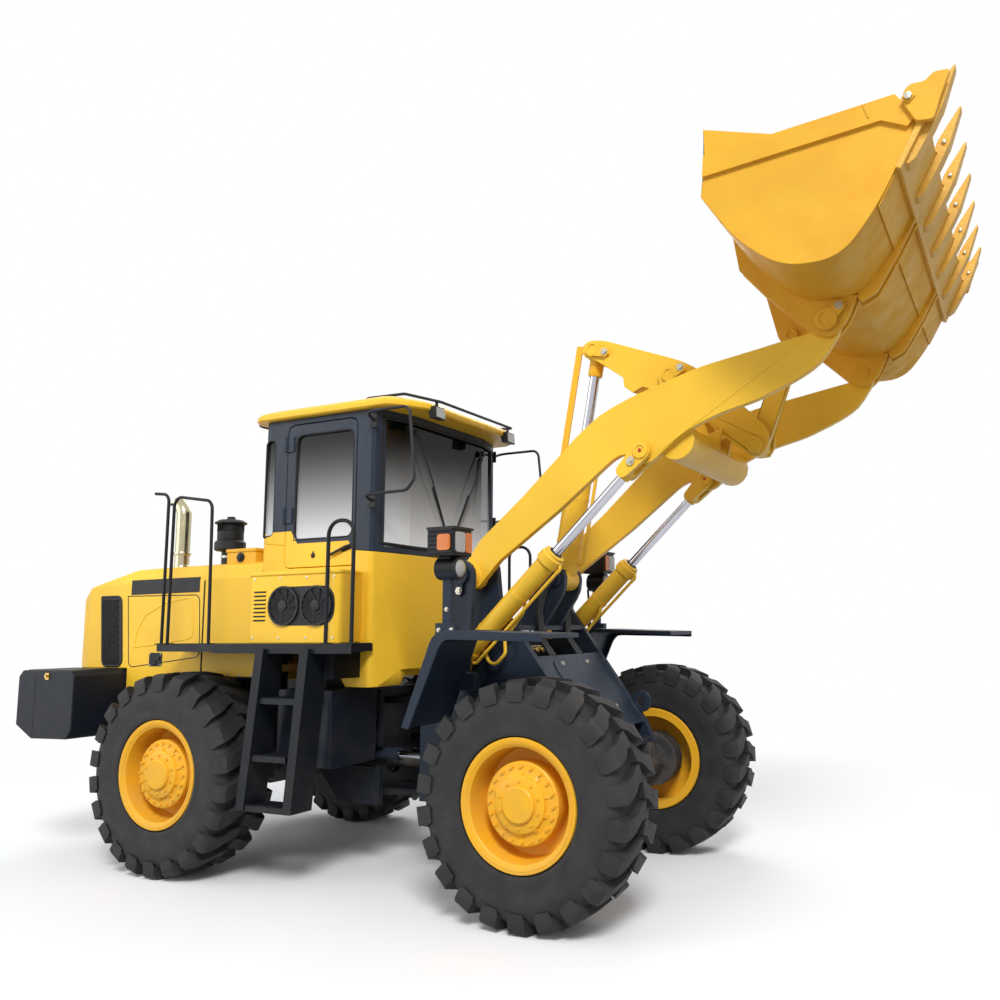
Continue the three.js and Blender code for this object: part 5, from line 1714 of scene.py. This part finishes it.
def roof_lamps():
    for hand in (RIGHT, LEFT):
        name = side_of(hand)
        for end, x, facing in (("front", 0.335, 1), ("rear", -1.060, -1)):
            y = 0.47 * hand
            case = Shape().side(
                [
                    (x - 0.035 * facing, 3.112), (x + 0.030 * facing, 3.116),
                    (x + 0.036 * facing, 3.030), (x - 0.020 * facing, 3.036),
                ],
                y - 0.055,
                y + 0.055,
            )
            face = Shape().side(
                [
                    (x + 0.0290 * facing, 3.108), (x + 0.0350 * facing, 3.108),
                    (x + 0.0400 * facing, 3.038), (x + 0.0340 * facing, 3.038),
                ],
                y - 0.048,
                y + 0.048,
            )
            arm = Shape().side(
                [(x - 0.006, 3.160), (x + 0.006, 3.160), (x + 0.006, 3.105), (x - 0.006, 3.105)],
                y - 0.012,
                y + 0.012,
            )
            joined(
                [painted(case, black), painted(face, lens), painted(arm, black)],
                f"{name}_{end}_roof_lamp",
                "rear_chassis",
                "black_plastic",
                34,
                bevel=0.003,
            )


roof()
roof_rails()
roof_lamps()


def door_trim():
    for hand in (RIGHT, LEFT):
        name = side_of(hand)
        y = 0.741 * hand
        pane = [(-0.650, 2.225), (-0.650, 2.965), (-0.138, 2.965), (-0.138, 2.225), (-0.650, 2.225)]
        joined(
            [tube([(x, y, z) for x, z in pane], 0.010, seal, 0.055, 12)],
            name + "_door_seal",
            name + "_door",
            "black_plastic",
            40,
        )
        pane = [(-0.933, 2.262), (-0.933, 2.950), (-0.843, 2.950), (-0.843, 2.262), (-0.933, 2.262)]
        joined(
            [tube([(x, 0.742 * hand, z) for x, z in pane], 0.008, seal, 0.035, 12)],
            name + "_quarter_seal",
            "rear_chassis",
            "black_plastic",
            40,
        )
        plate = Shape().side(
            rounded([(-0.222, 2.122), (-0.212, 2.160), (-0.135, 2.182), (-0.130, 2.146)], 0.010),
            0.749 * hand,
            0.756 * hand,
        )
        lever = tube(
            [
                (-0.150, 0.752 * hand, 2.166),
                (-0.170, 0.770 * hand, 2.160),
                (-0.310, 0.770 * hand, 2.106),
            ],
            0.0095,
            black,
            0.01,
            12,
        )
        lock = Shape().turned(
            [(0.017, 0), (0.017, 0.006), (0.012, 0.008), (0.0001, 0.008)],
            at(-0.468, 0.7495 * hand, 2.112),
            (0, hand, 0),
            24,
        )
        cover = Shape().side(
            rounded([(-0.484, 2.112), (-0.468, 2.146), (-0.452, 2.112), (-0.468, 2.098)], 0.004),
            0.7495 * hand,
            0.754 * hand,
        )
        handle = [painted(plate, black), lever, painted(cover, iron), painted(lock, black)]
        joined(handle, name + "_door_handle", name + "_door", "black_plastic", 34, bevel=0.001)
        grip = tube(
            [
                (-0.125, 0.704 * hand, 2.42), (-0.125, 0.668 * hand, 2.45),
                (-0.125, 0.668 * hand, 2.80), (-0.125, 0.704 * hand, 2.83),
            ],
            0.011,
            black,
            0.02,
            12,
        )
        joined([grip], name + "_door_grip", name + "_door", "black_plastic", 40)
        crease = tube(
            [(-0.950, 0.7505 * hand, 1.462), (-0.330, 0.7505 * hand, 1.462)], 0.004, seal, 0.01, 8
        )
        joined([crease], name + "_cab_crease", "rear_chassis", "black_plastic", 40)


def windscreen_seal():
    path = [
        (0.052, -0.694, 3.030), (0.132, -0.450, 3.030), (0.132, 0.450, 3.030), (0.052, 0.694, 3.030),
    ]
    low_path = [
        (0.052, -0.694, 2.178), (0.132, -0.450, 2.162), (0.132, 0.450, 2.162), (0.052, 0.694, 2.178),
    ]
    strips = [tube(points, 0.011, seal, 0.03, 12) for points in (path, low_path)]
    for hand in (RIGHT, LEFT):
        strips.append(
            tube([(0.0505, 0.692 * hand, 2.178), (0.0505, 0.692 * hand, 3.030)], 0.010, seal, 0.01, 12)
        )
    joined(strips, "windscreen_seal", "rear_chassis", "black_plastic", 40)


def wipers():
    for number, hand in enumerate((RIGHT, LEFT)):
        top, tip = (0.140, 0.429 * hand, 2.965), (0.140, 0.083 * hand, 2.346)
        hub = Shape().turned(
            [(0.024, 0), (0.024, 0.016), (0.014, 0.022), (0.0001, 0.022)],
            at(0.129, top[1], top[2]),
            (1, 0, 0),
            24,
        )
        arm = tube(
            [
                (0.150, top[1], top[2]),
                (0.154, (top[1] + tip[1]) / 2, (top[2] + tip[2]) / 2),
                (0.142, tip[1], tip[2]),
            ],
            0.0055,
            black,
            0.05,
            10,
        )
        way = Vector((0, tip[1] - top[1], tip[2] - top[2])).normalized()
        ends = [Vector((0.137, tip[1], tip[2])) + way * d for d in (-0.30, 0.24)]
        blade = tube([tuple(e) for e in ends], 0.006, seal, 0.01, 8)
        joined(
            [painted(hub, black), arm, blade], f"wiper_{number + 1}", "rear_chassis", "black_plastic",
            40,
        )


def mirror_frames():
    for hand in (RIGHT, LEFT):
        name = side_of(hand)
        y = 0.85 * hand
        frame_path = [
            (0.030, 0.752 * hand, 3.000), (0.040, y, 3.040), (0.395, y, 3.040), (0.445, y, 2.560),
            (0.383, y, 2.487), (0.030, y, 2.483), (0.030, 0.752 * hand, 2.455),
        ]
        bars = tube(frame_path, 0.010, black, 0.06, 14)
        plates = Shape()
        for z in (3.000, 2.455):
            plates.box(0.000, 0.055, 0.749 * hand, 0.757 * hand, z - 0.045, z + 0.045)
        joined(
            [bars, painted(plates, black)], name + "_mirror_frame", "rear_chassis", "black_plastic", 38,
        )


door_trim()
windscreen_seal()
wipers()
mirror_frames()


def condenser():
    y = -1.030
    opening = rounded([(-0.555, 1.888), (-0.019, 1.888), (-0.019, 1.637), (-0.555, 1.637)], 0.115, 8)
    panel = Shape().side(opening, y + 0.004, y - 0.002)
    parts = [painted(panel, black)]
    for x, z in ((-0.440, 1.765), (-0.166, 1.762)):
        centre = at(x, y - 0.002, z)
        shroud = Shape().turned(
            [(0.128, 0), (0.128, 0.014), (0.114, 0.014), (0.114, 0)],
            centre,
            (0, -1, 0),
            48,
            closed=True,
        )
        hub = Shape().turned(
            [(0.036, 0), (0.036, 0.016), (0.028, 0.020), (0.0001, 0.020)], centre, (0, -1, 0), 32
        )
        blade = Shape()
        blade.loft(
            [
                [
                    Vector((a * 0.030, -0.004 + b, r))
                    for a, b in ((-1, 0.003), (1, -0.007), (1, -0.005), (-1, 0.005))
                ]
                for r in (0.034, 0.110)
            ]
        )
        wires = [
            Shape().turned(
                [(r, 0.012), (r, 0.016), (r - 0.003, 0.016), (r - 0.003, 0.012)],
                centre,
                (0, -1, 0),
                40,
                closed=True,
            )
            for r in (0.060, 0.080, 0.100)
        ]
        stay = Shape()
        stay.loft(
            [
                [
                    Vector((a * 0.0018, -b, r))
                    for a, b in ((-1, 0.013), (1, 0.013), (1, 0.016), (-1, 0.016))
                ]
                for r in (0.030, 0.120)
            ]
        )
        parts += [
            painted(shroud, black), painted(hub, black), ring(blade, 9, centre, black),
            ring(stay, 4, centre, black),
        ]
        parts += [painted(wire, black) for wire in wires]
    joined(parts, "condenser_fans", "rear_chassis", "black_plastic", 36)
    slot = Shape().side(
        rounded([(-0.704, 1.667), (-0.600, 1.667), (-0.600, 1.678), (-0.704, 1.678)], 0.005, 3),
        y + 0.002,
        y - 0.0012,
    )
    hooded = Shape()
    hooded.loft(
        [
            [at(x, yy, z) for yy, z in ((y + 0.001, 1.6785), (y - 0.009, 1.6785), (y + 0.001, 1.690))]
            for x in (-0.706, -0.598)
        ]
    )
    slots = row(slot, 8, (0, 0, 0.0265), black)
    hoods = row(hooded, 8, (0, 0, 0.0265), yellow)
    joined([slots, hoods], "condenser_louvres", "rear_chassis", "black_plastic", 30)
    screw_rows = []
    for z in (1.560, 1.945):
        one = Shape()
        bolt(one, (-0.705, y, z), (0, -1, 0), 0.006, 0.005)
        screw_rows.append(row(one, 4, (0.225, 0, 0), steel))
    joined(screw_rows, "condenser_screws", "rear_chassis", "yellow_paint", 34)
    lid = Shape().plan(
        rounded([(-0.752, -0.752), (-0.752, -1.037), (0.024, -1.037, 0.05), (-0.038, -0.752)], 0.02),
        1.962,
        1.990,
    )
    lid.piece("condenser_lid", "rear_chassis", "yellow_paint", yellow, 0.008)


condenser()


def cushion(name, rings, material):
    """A padded pad from outlines stacked up and softened by subdivision."""
    shape = Shape()
    shape.loft([[at(*p) for p in outline] for outline in rings])
    made = shape.made_object(name)
    made.data.materials.append(material)
    made.data.shade_smooth()
    soft = made.modifiers.new("soft", "SUBSURF")
    soft.levels = soft.render_levels = 3
    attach(made, "rear_chassis")


SEAT_X, SEAT_Z = -0.560, 1.5013


def seat():
    x0, z0 = SEAT_X, SEAT_Z

    def plinth(shape, half_length, half_width, corner, low, high):
        rear, front = x0 - half_length, x0 + half_length
        corners = [(rear, -half_width), (front, -half_width), (front, half_width), (rear, half_width)]
        return shape.plan(rounded(corners, corner), z0 + low, z0 + high)

    pedestal = Shape()
    plinth(pedestal, 0.19, 0.18, 0.03, 0.0003, 0.10)
    plinth(pedestal, 0.14, 0.14, 0.03, 0.10, 0.26)
    plinth(pedestal, 0.20, 0.20, 0.04, 0.26, 0.335)
    bellows = painted(plinth(Shape(), 0.16, 0.16, 0.04, 0.115, 0.130), black)
    stack = row(plinth(Shape(), 0.16, 0.16, 0.04, 0.145, 0.160), 4, (0, 0, 0.03), black)
    parts = [painted(pedestal, black), bellows, stack]
    joined(
        parts, "seat_pedestal", "rear_chassis", "black_plastic", 34, bevel=0.004,
        stands_for=("operator_seat",),
    )

    def pad_ring(up, rear, half, front):
        """An outline of the cushion, with its rear and front edges and half its width."""
        near = [
            (-rear, -half), (-rear, -half * 0.5), (-rear, half * 0.5), (-rear, half),
            (rear * 0.3, half * 1.03),
        ]
        far = [
            (front, half), (front + 0.01, half * 0.5), (front + 0.01, -half * 0.5), (front, -half),
            (rear * 0.3, -half * 1.03),
        ]
        return [(x0 + x, y, z0 + up) for x, y in near + far]

    pad = [
        (0.332, 0.20, 0.20, 0.22), (0.350, 0.235, 0.235, 0.245), (0.400, 0.245, 0.245, 0.255),
        (0.440, 0.235, 0.235, 0.245), (0.455, 0.17, 0.18, 0.18),
    ]
    cushion("seat_cushion", [pad_ring(*sizes) for sizes in pad], cloth)

    def back_ring(depth, grow):
        widths = [(0.02, 0.205), (0.30, 0.235), (0.62, 0.225), (0.86, 0.19), (0.99, 0.13)]
        points = [(t, half * grow) for t, half in widths]
        loop = points + [(t, -h) for t, h in reversed(points)]
        return [(x0 - 0.185 - 0.115 * t + depth, h, z0 + 0.455 + 0.59 * t) for t, h in loop]

    cushion(
        "seat_back",
        [
            back_ring(-0.050, 0.86), back_ring(-0.030, 1.0), back_ring(0.020, 1.0),
            back_ring(0.042, 0.92), back_ring(0.050, 0.70),
        ],
        cloth,
    )


seat()


def controls():
    centre = at(-0.186, 0, 2.223)
    axis = Vector((-0.012, 0, 0.026)).normalized()
    wheel_rim = Shape()
    profile = [
        (0.180 + 0.015 * math.cos(a), 0.015 * math.sin(a))
        for a in [2 * math.pi * k / 12 for k in range(12)]
    ]
    wheel_rim.turned(profile, centre, axis, 48, closed=True)
    hub = Shape().turned(
        [(0.045, -0.020), (0.048, 0.0), (0.040, 0.022), (0.0001, 0.026)], centre, axis, 32
    )
    joined(
        [painted(wheel_rim, black), painted(hub, black)],
        "steering_wheel",
        "rear_chassis",
        "black_plastic",
        40,
    )
    levers = Shape()
    for x in (-0.30, -0.36, -0.42):
        levers.turned(
            [
                (0.008, 0), (0.008, 0.20), (0.020, 0.215), (0.024, 0.240), (0.016, 0.262),
                (0.0001, 0.266),
            ],
            at(x, -0.36, 1.80),
            (0.1, 0, 1),
            20,
        )
    console = Shape().box(-0.70, -0.24, -0.44, -0.30, 1.5016, 1.805)
    joined(
        [painted(console, black), painted(levers, black)],
        "control_console",
        "rear_chassis",
        "black_plastic",
        36,
        bevel=0.004,
    )


controls()


# ------------------------------------------------------------------ platforms and ladders
def platform(hand):
    name = side_of(hand)

    def handed(points):
        return [(x, y * hand) for x, y in points]

    deck_plan = handed(
        [
            (-1.630, 0.737), (-1.630, 1.010), (-1.100, 1.045), (-0.960, 1.120), (0.200, 1.120),
            (0.200, 1.010), (0.060, 0.905), (0.060, 0.752), (-0.970, 0.752), (-0.970, 0.737),
        ]
    )
    deck = Shape().plan(deck_plan, 1.470, 1.5195)
    lip = Shape().plan(
        handed([(-0.960, 1.114), (0.200, 1.114), (0.200, 1.121), (-0.960, 1.121)]), 1.462, 1.5215
    )
    steel_parts = [painted(deck, ladder_black), painted(lip, ladder_black)]
    r = -1.610
    steel_parts.append(
        tube(
            [(r, 0.990 * hand, 1.50), (r, 0.990 * hand, 2.585), (r - 0.140, 0.990 * hand, 2.600)],
            0.011,
            ladder_black,
            0.06,
            16,
        )
    )
    steel_parts.append(
        tube(
            [
                (r + 0.065, 0.995 * hand, 1.50), (r + 0.065, 0.995 * hand, 2.565),
                (-1.130, 1.030 * hand, 2.500), (-1.100, 1.035 * hand, 1.50),
            ],
            0.011,
            ladder_black,
            0.07,
            16,
        )
    )
    steel_parts.append(
        tube(
            [(r + 0.01, 0.992 * hand, 2.51), (r + 0.065, 0.994 * hand, 2.51)],
            0.008,
            ladder_black,
            0.01,
            12,
        )
    )
    steel_parts.append(
        tube(
            [
                (-0.022, 1.100 * hand, 1.50), (-0.022, 1.100 * hand, 2.285),
                (0.180, 1.100 * hand, 2.285), (0.180, 1.100 * hand, 1.50),
            ],
            0.0125,
            ladder_black,
            0.09,
            16,
        )
    )
    for x, y in ((r, 0.990), (r + 0.065, 0.995), (-1.100, 1.035), (-0.022, 1.100), (0.180, 1.100)):
        foot = Shape().box(
            x - 0.030, x + 0.030, (y - 0.030) * hand, (min(y + 0.030, 1.118)) * hand, 1.5195, 1.527,
        )
        steel_parts.append(painted(foot, ladder_black))
    rails = Shape()
    for (x0, z0), (x1, z1) in (((-0.640, 0.490), (-0.520, 1.490)), ((-0.250, 0.490), (-0.150, 1.490))):
        rails.side(
            [(x0 - 0.034, z0), (x1 - 0.034, z1), (x1 + 0.034, z1), (x0 + 0.034, z0)],
            1.148 * hand,
            1.138 * hand,
        )
        rails.side(
            [(x0 + 0.026, z0), (x1 + 0.026, z1), (x1 + 0.034, z1), (x0 + 0.034, z0)],
            1.140 * hand,
            0.965 * hand,
        )
    rails.box(-0.120, -0.040, 0.752 * hand, 1.000 * hand, 1.3003, 1.480)
    rails.box(-0.700, -0.620, 0.752 * hand, 1.000 * hand, 1.400, 1.480)
    steel_parts.append(painted(rails, ladder_black))
    for z, y, x0, x1 in (
        (0.505, 1.140, -0.640, -0.240), (0.810, 1.135, -0.620, -0.270), (1.165, 1.130, -0.545, -0.215)
    ):
        tread = Shape().box(x0, x1, (y - 0.012) * hand, y * hand, z - 0.018, z + 0.016)
        tread.box(x0, x1, (y - 0.190) * hand, (y - 0.178) * hand, z - 0.018, z + 0.016)
        tread.box(x0, x0 + 0.012, (y - 0.190) * hand, y * hand, z - 0.018, z + 0.016)
        tread.box(x1 - 0.012, x1, (y - 0.190) * hand, y * hand, z - 0.018, z + 0.016)
        steel_parts.append(painted(tread, ladder_black))
        slat = Shape().side(
            [
                (x0 + 0.020, z - 0.012), (x0 + 0.020, z + 0.012), (x0 + 0.026, z + 0.018),
                (x0 + 0.032, z + 0.012), (x0 + 0.032, z - 0.012),
            ],
            (y - 0.184) * hand,
            (y - 0.006) * hand,
        )
        count = int((x1 - x0 - 0.04) / 0.034)
        steel_parts.append(row(slat, count, (0.034, 0, 0), ladder_black))
        tooth = Shape().side(
            [(x0 + 0.012, z + 0.014), (x0 + 0.021, z + 0.026), (x0 + 0.030, z + 0.014)],
            (y - 0.010) * hand,
            (y - 0.002) * hand,
        )
        steel_parts.append(row(tooth, int((x1 - x0 - 0.02) / 0.020), (0.020, 0, 0), ladder_black))
    joined(
        steel_parts, name + "_platform_frame", "rear_chassis", "slate_paint", 36,
        stands_for=(name + "_platform",),
    )
    cover = handed(
        [
            (-1.622, 0.745), (-1.622, 1.002), (-1.098, 1.037), (-0.957, 1.112), (0.192, 1.112),
            (0.192, 1.014), (0.052, 0.909), (0.052, 0.758), (-0.978, 0.758), (-0.978, 0.745),
        ]
    )
    Shape().plan(cover, 1.5193, 1.5230).piece(
        name + "_platform_tread", "rear_chassis", "slate_paint", treadplate, 0.001,
    )


for hand in (RIGHT, LEFT):
    platform(hand)


# ------------------------------------------------------------------ front fenders and lamps
def fender_lamps(hand):
    name = side_of(hand)
    x0, x1, y0, y1, z0, z1 = 0.750, 0.935, 0.935, 1.125, 2.030, 2.190
    guard = Shape()
    guard.box(x0 - 0.004, x1 + 0.010, (y0 - 0.006) * hand, (y1 + 0.006) * hand, z1 - 0.004, z1 + 0.010)
    rib = Shape().box(
        x0 + 0.012, x1 - 0.010, (y1 - 0.001) * hand, (y1 + 0.008) * hand, z0 + 0.016, z0 + 0.024,
    )
    ribs = row(rib, 6, (0, 0, 0.026), black)
    head = Shape().front(
        rounded(
            [
                ((y1 - 0.012) * hand, z0 + 0.020), ((y0 + 0.085) * hand, z0 + 0.020),
                ((y0 + 0.085) * hand, z1 - 0.022), ((y1 - 0.012) * hand, z1 - 0.022),
            ],
            0.02,
        ),
        x1 - 0.002,
        x1 + 0.012,
    )
    bezel = Shape().front(
        rounded(
            [
                ((y1 - 0.004) * hand, z0 + 0.010), ((y0 + 0.008) * hand, z0 + 0.010),
                ((y0 + 0.008) * hand, z1 - 0.012), ((y1 - 0.004) * hand, z1 - 0.012),
            ],
            0.02,
        ),
        x1 - 0.004,
        x1 + 0.004,
    )
    blink = Shape().front(
        rounded(
            [
                ((y0 + 0.075) * hand, z0 + 0.020), ((y0 + 0.015) * hand, z0 + 0.020),
                ((y0 + 0.015) * hand, z1 - 0.022), ((y0 + 0.075) * hand, z1 - 0.022),
            ],
            0.015,
        ),
        x1 - 0.002,
        x1 + 0.012,
    )
    side_blink = Shape().side(
        rounded(
            [
                (x1 - 0.110, z0 + 0.030), (x1 - 0.020, z0 + 0.030), (x1 - 0.020, z1 - 0.035),
                (x1 - 0.110, z1 - 0.035),
            ],
            0.02,
        ),
        (y1 - 0.002) * hand,
        (y1 + 0.010) * hand,
    )
    round_lamp = Shape().turned(
        [(0.066, -0.002), (0.069, 0.004), (0.066, 0.010), (0.058, 0.010)],
        at(x1 - 0.030, 1.020 * hand, 1.960),
        (1, 0, 0),
        40,
    )
    round_lens = Shape().turned(
        [(0.056, 0.006), (0.045, 0.016), (0.020, 0.022), (0.0001, 0.023)],
        at(x1 - 0.030, 1.020 * hand, 1.960),
        (1, 0, 0),
        40,
    )
    bolts = Shape()
    for x, z in ((0.785, 1.60), (0.875, 1.60), (0.830, 1.72), (0.830, 1.92)):
        bolt(bolts, (x, 1.036 * hand if z > 1.65 else 1.050 * hand, z), (0, hand, 0), 0.010, 0.010)
    joined(
        [
            painted(guard, black), ribs, painted(bezel, black), painted(head, lens),
            painted(blink, amber), painted(side_blink, amber), painted(round_lamp, black),
            painted(round_lens, lens), painted(bolts, steel),
        ],
        name + "_fender_lamp",
        "front_chassis",
        "black_plastic",
        34,
    )
    wire = tube(
        [
            (0.800, 0.985 * hand, 1.960), (0.775, 0.975 * hand, 1.900), (0.790, 0.975 * hand, 1.700),
            (0.800, 0.960 * hand, 1.604),
        ],
        0.009,
        hose,
        0.04,
        10,
    )
    joined([wire], name + "_lamp_wire", "front_chassis", "black_plastic", 40)


for hand in (RIGHT, LEFT):
    fender_lamps(hand)


# ------------------------------------------------------------------ tower, hoses and covers
SLOPE_FOOT, SLOPE_RUN = (1.455, 0.957), 0.7444


def on_slope(y, z, out=0.0):
    """A point on the tower's sloping front plate, or a little way out from it."""
    norm = math.hypot(1, SLOPE_RUN)
    return (SLOPE_FOOT[0] + (SLOPE_FOOT[1] - z) * SLOPE_RUN + out / norm, y, z + out * SLOPE_RUN / norm)


def tower_trim():
    outward = Vector((1, 0, SLOPE_RUN)).normalized()
    plate, bolts = Shape(), Shape()
    outline = rounded([(-0.300, 1.402), (0.300, 1.402), (0.300, 1.050), (-0.300, 1.050)], 0.08)
    plate.loft([[at(*on_slope(y, z, out)) for y, z in outline] for out in (-0.004, 0.006)])
    for y in (-0.180, 0.180):
        for z in (1.372, 1.080):
            bolt(bolts, on_slope(y, z, 0.006), outward, 0.012, 0.010)
    joined(
        [painted(plate, slate), painted(bolts, steel)], "tower_cover", "front_chassis", "slate_paint",
        34,
    )
    for hand in (RIGHT, LEFT):
        name = side_of(hand)
        eye = Shape().turned(
            [(0.032, -0.013), (0.073, -0.013), (0.073, 0.013), (0.032, 0.013)],
            at(1.428, 0.477 * hand, 1.092),
            (0, 1, 0),
            32,
            closed=True,
        )
        eye.piece(name + "_lashing_eye", "front_chassis", "slate_paint", slate, 0.003)
        bundle = []
        for y in (0.176, 0.214):
            bundle.append(
                tube(
                    [
                        (1.086, y * hand, 1.424), (1.000, y * hand, 1.540), (0.985, y * hand, 1.720),
                        (1.030, y * hand, 1.880), (1.075, y * hand * 0.84, 1.930),
                    ],
                    0.016,
                    hose,
                    0.12,
                    12,
                )
            )
        joined(bundle, name + "_front_hoses", "front_chassis", "black_plastic", 40)
        channel = []
        for k in range(3):
            d = k * 0.034
            channel.append(
                tube(
                    [
                        (0.330, (0.395 - d * 0.3) * hand, 0.960 + d),
                        (0.430, (0.420 - d * 0.3) * hand, 1.040 + d),
                        (0.640, (0.438 - d * 0.2) * hand, 1.300 + d),
                        (0.720, (0.438 - d * 0.2) * hand, 1.560 + d * 0.5),
                    ],
                    0.013,
                    hose,
                    0.10,
                    12,
                )
            )
        ends = Shape()
        for k in range(3):
            d = k * 0.034
            ends.turned(
                [(0.019, 0), (0.019, 0.030), (0.014, 0.032), (0.014, 0.050)],
                at(0.718, (0.438 - d * 0.2) * hand, 1.530 + d * 0.5),
                (0.2, 0, 1),
                6,
            )
        joined(
            channel + [painted(ends, brass)], name + "_tower_hoses", "front_chassis", "black_plastic",
            40,
        )
    valve = Shape().box(0.640, 0.735, -0.210, 0.210, 1.400, 1.545)
    valve.box(0.735, 0.790, -0.170, 0.170, 1.420, 1.500)
    spools = Shape().turned(
        [(0.026, 0), (0.026, 0.050), (0.018, 0.056), (0.0001, 0.056)],
        at(0.790, -0.120, 1.460),
        (1, 0, 0),
        24,
    )
    others = row(
        Shape().turned(
            [(0.026, 0), (0.026, 0.050), (0.018, 0.056), (0.0001, 0.056)],
            at(0.790, -0.040, 1.460),
            (1, 0, 0),
            24,
        ),
        3,
        (0, 0.08, 0),
        brass,
    )
    joined(
        [painted(valve, iron), painted(spools, brass), others],
        "control_valve",
        "front_chassis",
        "dark_iron",
        34,
        bevel=0.003,
    )


tower_trim()


# ------------------------------------------------------------------ bucket
TIP = (3.605, 3.957)
SLOPE = math.atan2(0.367, 0.205)
RUN, DROP = (math.cos(SLOPE), math.sin(SLOPE)), (math.sin(SLOPE), -math.cos(SLOPE))


def edge_point(forward, down):
    return (TIP[0] + RUN[0] * forward + DROP[0] * down, TIP[1] + RUN[1] * forward + DROP[1] * down)


def bucket_edge():
    span = 1.235 - 0.075
    plate = Shape().side(
        [
            edge_point(-0.230, 0.0003), edge_point(0.045, 0.0003), edge_point(0.062, 0.008),
            edge_point(0.045, 0.030), edge_point(-0.230, 0.030),
        ],
        -1.235,
        1.235,
    )
    shank_points = [
        (-0.190, 0.029), (-0.185, 0.044), (-0.150, 0.062), (0.020, 0.068), (0.090, 0.066),
        (0.105, 0.052), (0.105, 0.010), (0.078, 0.004), (0.064, 0.006), (0.056, 0.029),
    ]
    step = (0, 2 * span / 6, 0)
    shank = Shape().side([edge_point(a, b) for a, b in shank_points], -span - 0.042, -span + 0.042)
    shanks = row(shank, 7, step, worn_steel)
    tooth = Shape()

    def tooth_ring(forward, low, high, half):
        spread_points = [
            (-span - half, low), (-span + half, low), (-span + half * 0.9, high),
            (-span - half * 0.9, high),
        ]
        ring_points = []
        for y, down in spread_points:
            x, z = edge_point(forward, down)
            ring_points.append(at(x, y, z))
        return ring_points

    stations = [
        (0.086, 0.0655, 0.0045, 0.040), (0.110, 0.066, 0.002, 0.046), (0.150, 0.060, 0.004, 0.044),
        (0.230, 0.046, 0.012, 0.040), (0.300, 0.034, 0.019, 0.036), (0.319, 0.030, 0.022, 0.033),
    ]
    tooth.loft([tooth_ring(*station) for station in stations])
    teeth = row(tooth, 7, step, worn_steel)
    key = Shape().turned(
        [(0.011, -0.002), (0.011, 0.008), (0.007, 0.010), (0.0001, 0.010)],
        at(edge_point(0.118, 0.036)[0], -span - 0.045, edge_point(0.118, 0.036)[1]),
        (0, -1, 0),
        16,
    )
    keys = row(key, 7, step, steel)
    joined(
        [painted(plate, worn_steel), shanks, teeth, keys],
        "bucket_teeth",
        "bucket",
        "orange_paint",
        34,
        bevel=0.003,
        stands_for=("cutting_edge",),
    )


bucket_edge()


def bucket_trim():
    parts = []
    wear = Shape()
    for y0, y1 in ((-1.200, -0.590), (-0.586, 0.586), (0.590, 1.200)):
        wear.side(
            [
                edge_point(-0.420, 0.0), edge_point(-0.232, 0.0), edge_point(-0.232, 0.006),
                edge_point(-0.420, 0.006),
            ],
            y0,
            y1,
        )
    parts.append(painted(wear, bucket_paint))
    hooks = Shape()
    for hand in (RIGHT, LEFT):
        for y in (0.5445, 0.6255):
            low, high = sorted(((y - 0.014) * hand, (y + 0.014) * hand))
            hooks.side(
                rounded(
                    [
                        (3.195, 3.378), (3.215, 3.330), (3.300, 3.372), (3.420, 3.560), (3.530, 3.760),
                        (3.500, 3.775), (3.392, 3.585),
                    ],
                    0.02,
                    3,
                ),
                low,
                high,
            )
    parts.append(painted(hooks, bucket_paint))
    joined(parts, "bucket_gussets", "bucket", "yellow_paint", 34, bevel=0.002)
    for hand in (RIGHT, LEFT):
        name = side_of(hand)
        y = 1.235 * hand
        cutter = Shape().side(
            rounded(
                [
                    (3.550, 4.111), (3.583, 4.142), (3.649, 4.138), (3.692, 4.175), (3.767, 4.168),
                    (3.713, 4.041), (3.679, 3.939), (3.629, 3.945), (3.600, 3.950), (3.548, 4.050),
                ],
                0.020,
                4,
            ),
            y - 0.003 * hand,
            y + 0.022 * hand,
        )
        cutter.turned(
            [(0.034, 0), (0.034, 0.008), (0.028, 0.010), (0.0001, 0.010)],
            at(3.573, y + 0.022 * hand, 4.076),
            (0, hand, 0),
            4,
        )
        head = Shape().turned(
            [(0.021, 0.010), (0.021, 0.024), (0.0001, 0.026)],
            at(3.573, y + 0.022 * hand, 4.076),
            (0, hand, 0),
            6,
        )
        seam = tube(
            [(3.360, y - 0.001 * hand, 4.108), (3.385, y - 0.001 * hand, 4.030)],
            0.006,
            bucket_paint,
            0.01,
            8,
        )
        joined(
            [painted(cutter, bucket_paint), painted(head, steel), seam],
            name + "_side_cutter",
            "bucket",
            "orange_paint",
            34,
            bevel=0.003,
        )
        weld = tube(
            [(2.545, 1.2155 * hand, 4.040), (3.510, 1.2155 * hand, 4.119)], 0.004, bucket_paint, 0.01, 8
        )
        joined([weld], name + "_strap_weld", "bucket", "yellow_paint", 40)


bucket_trim()
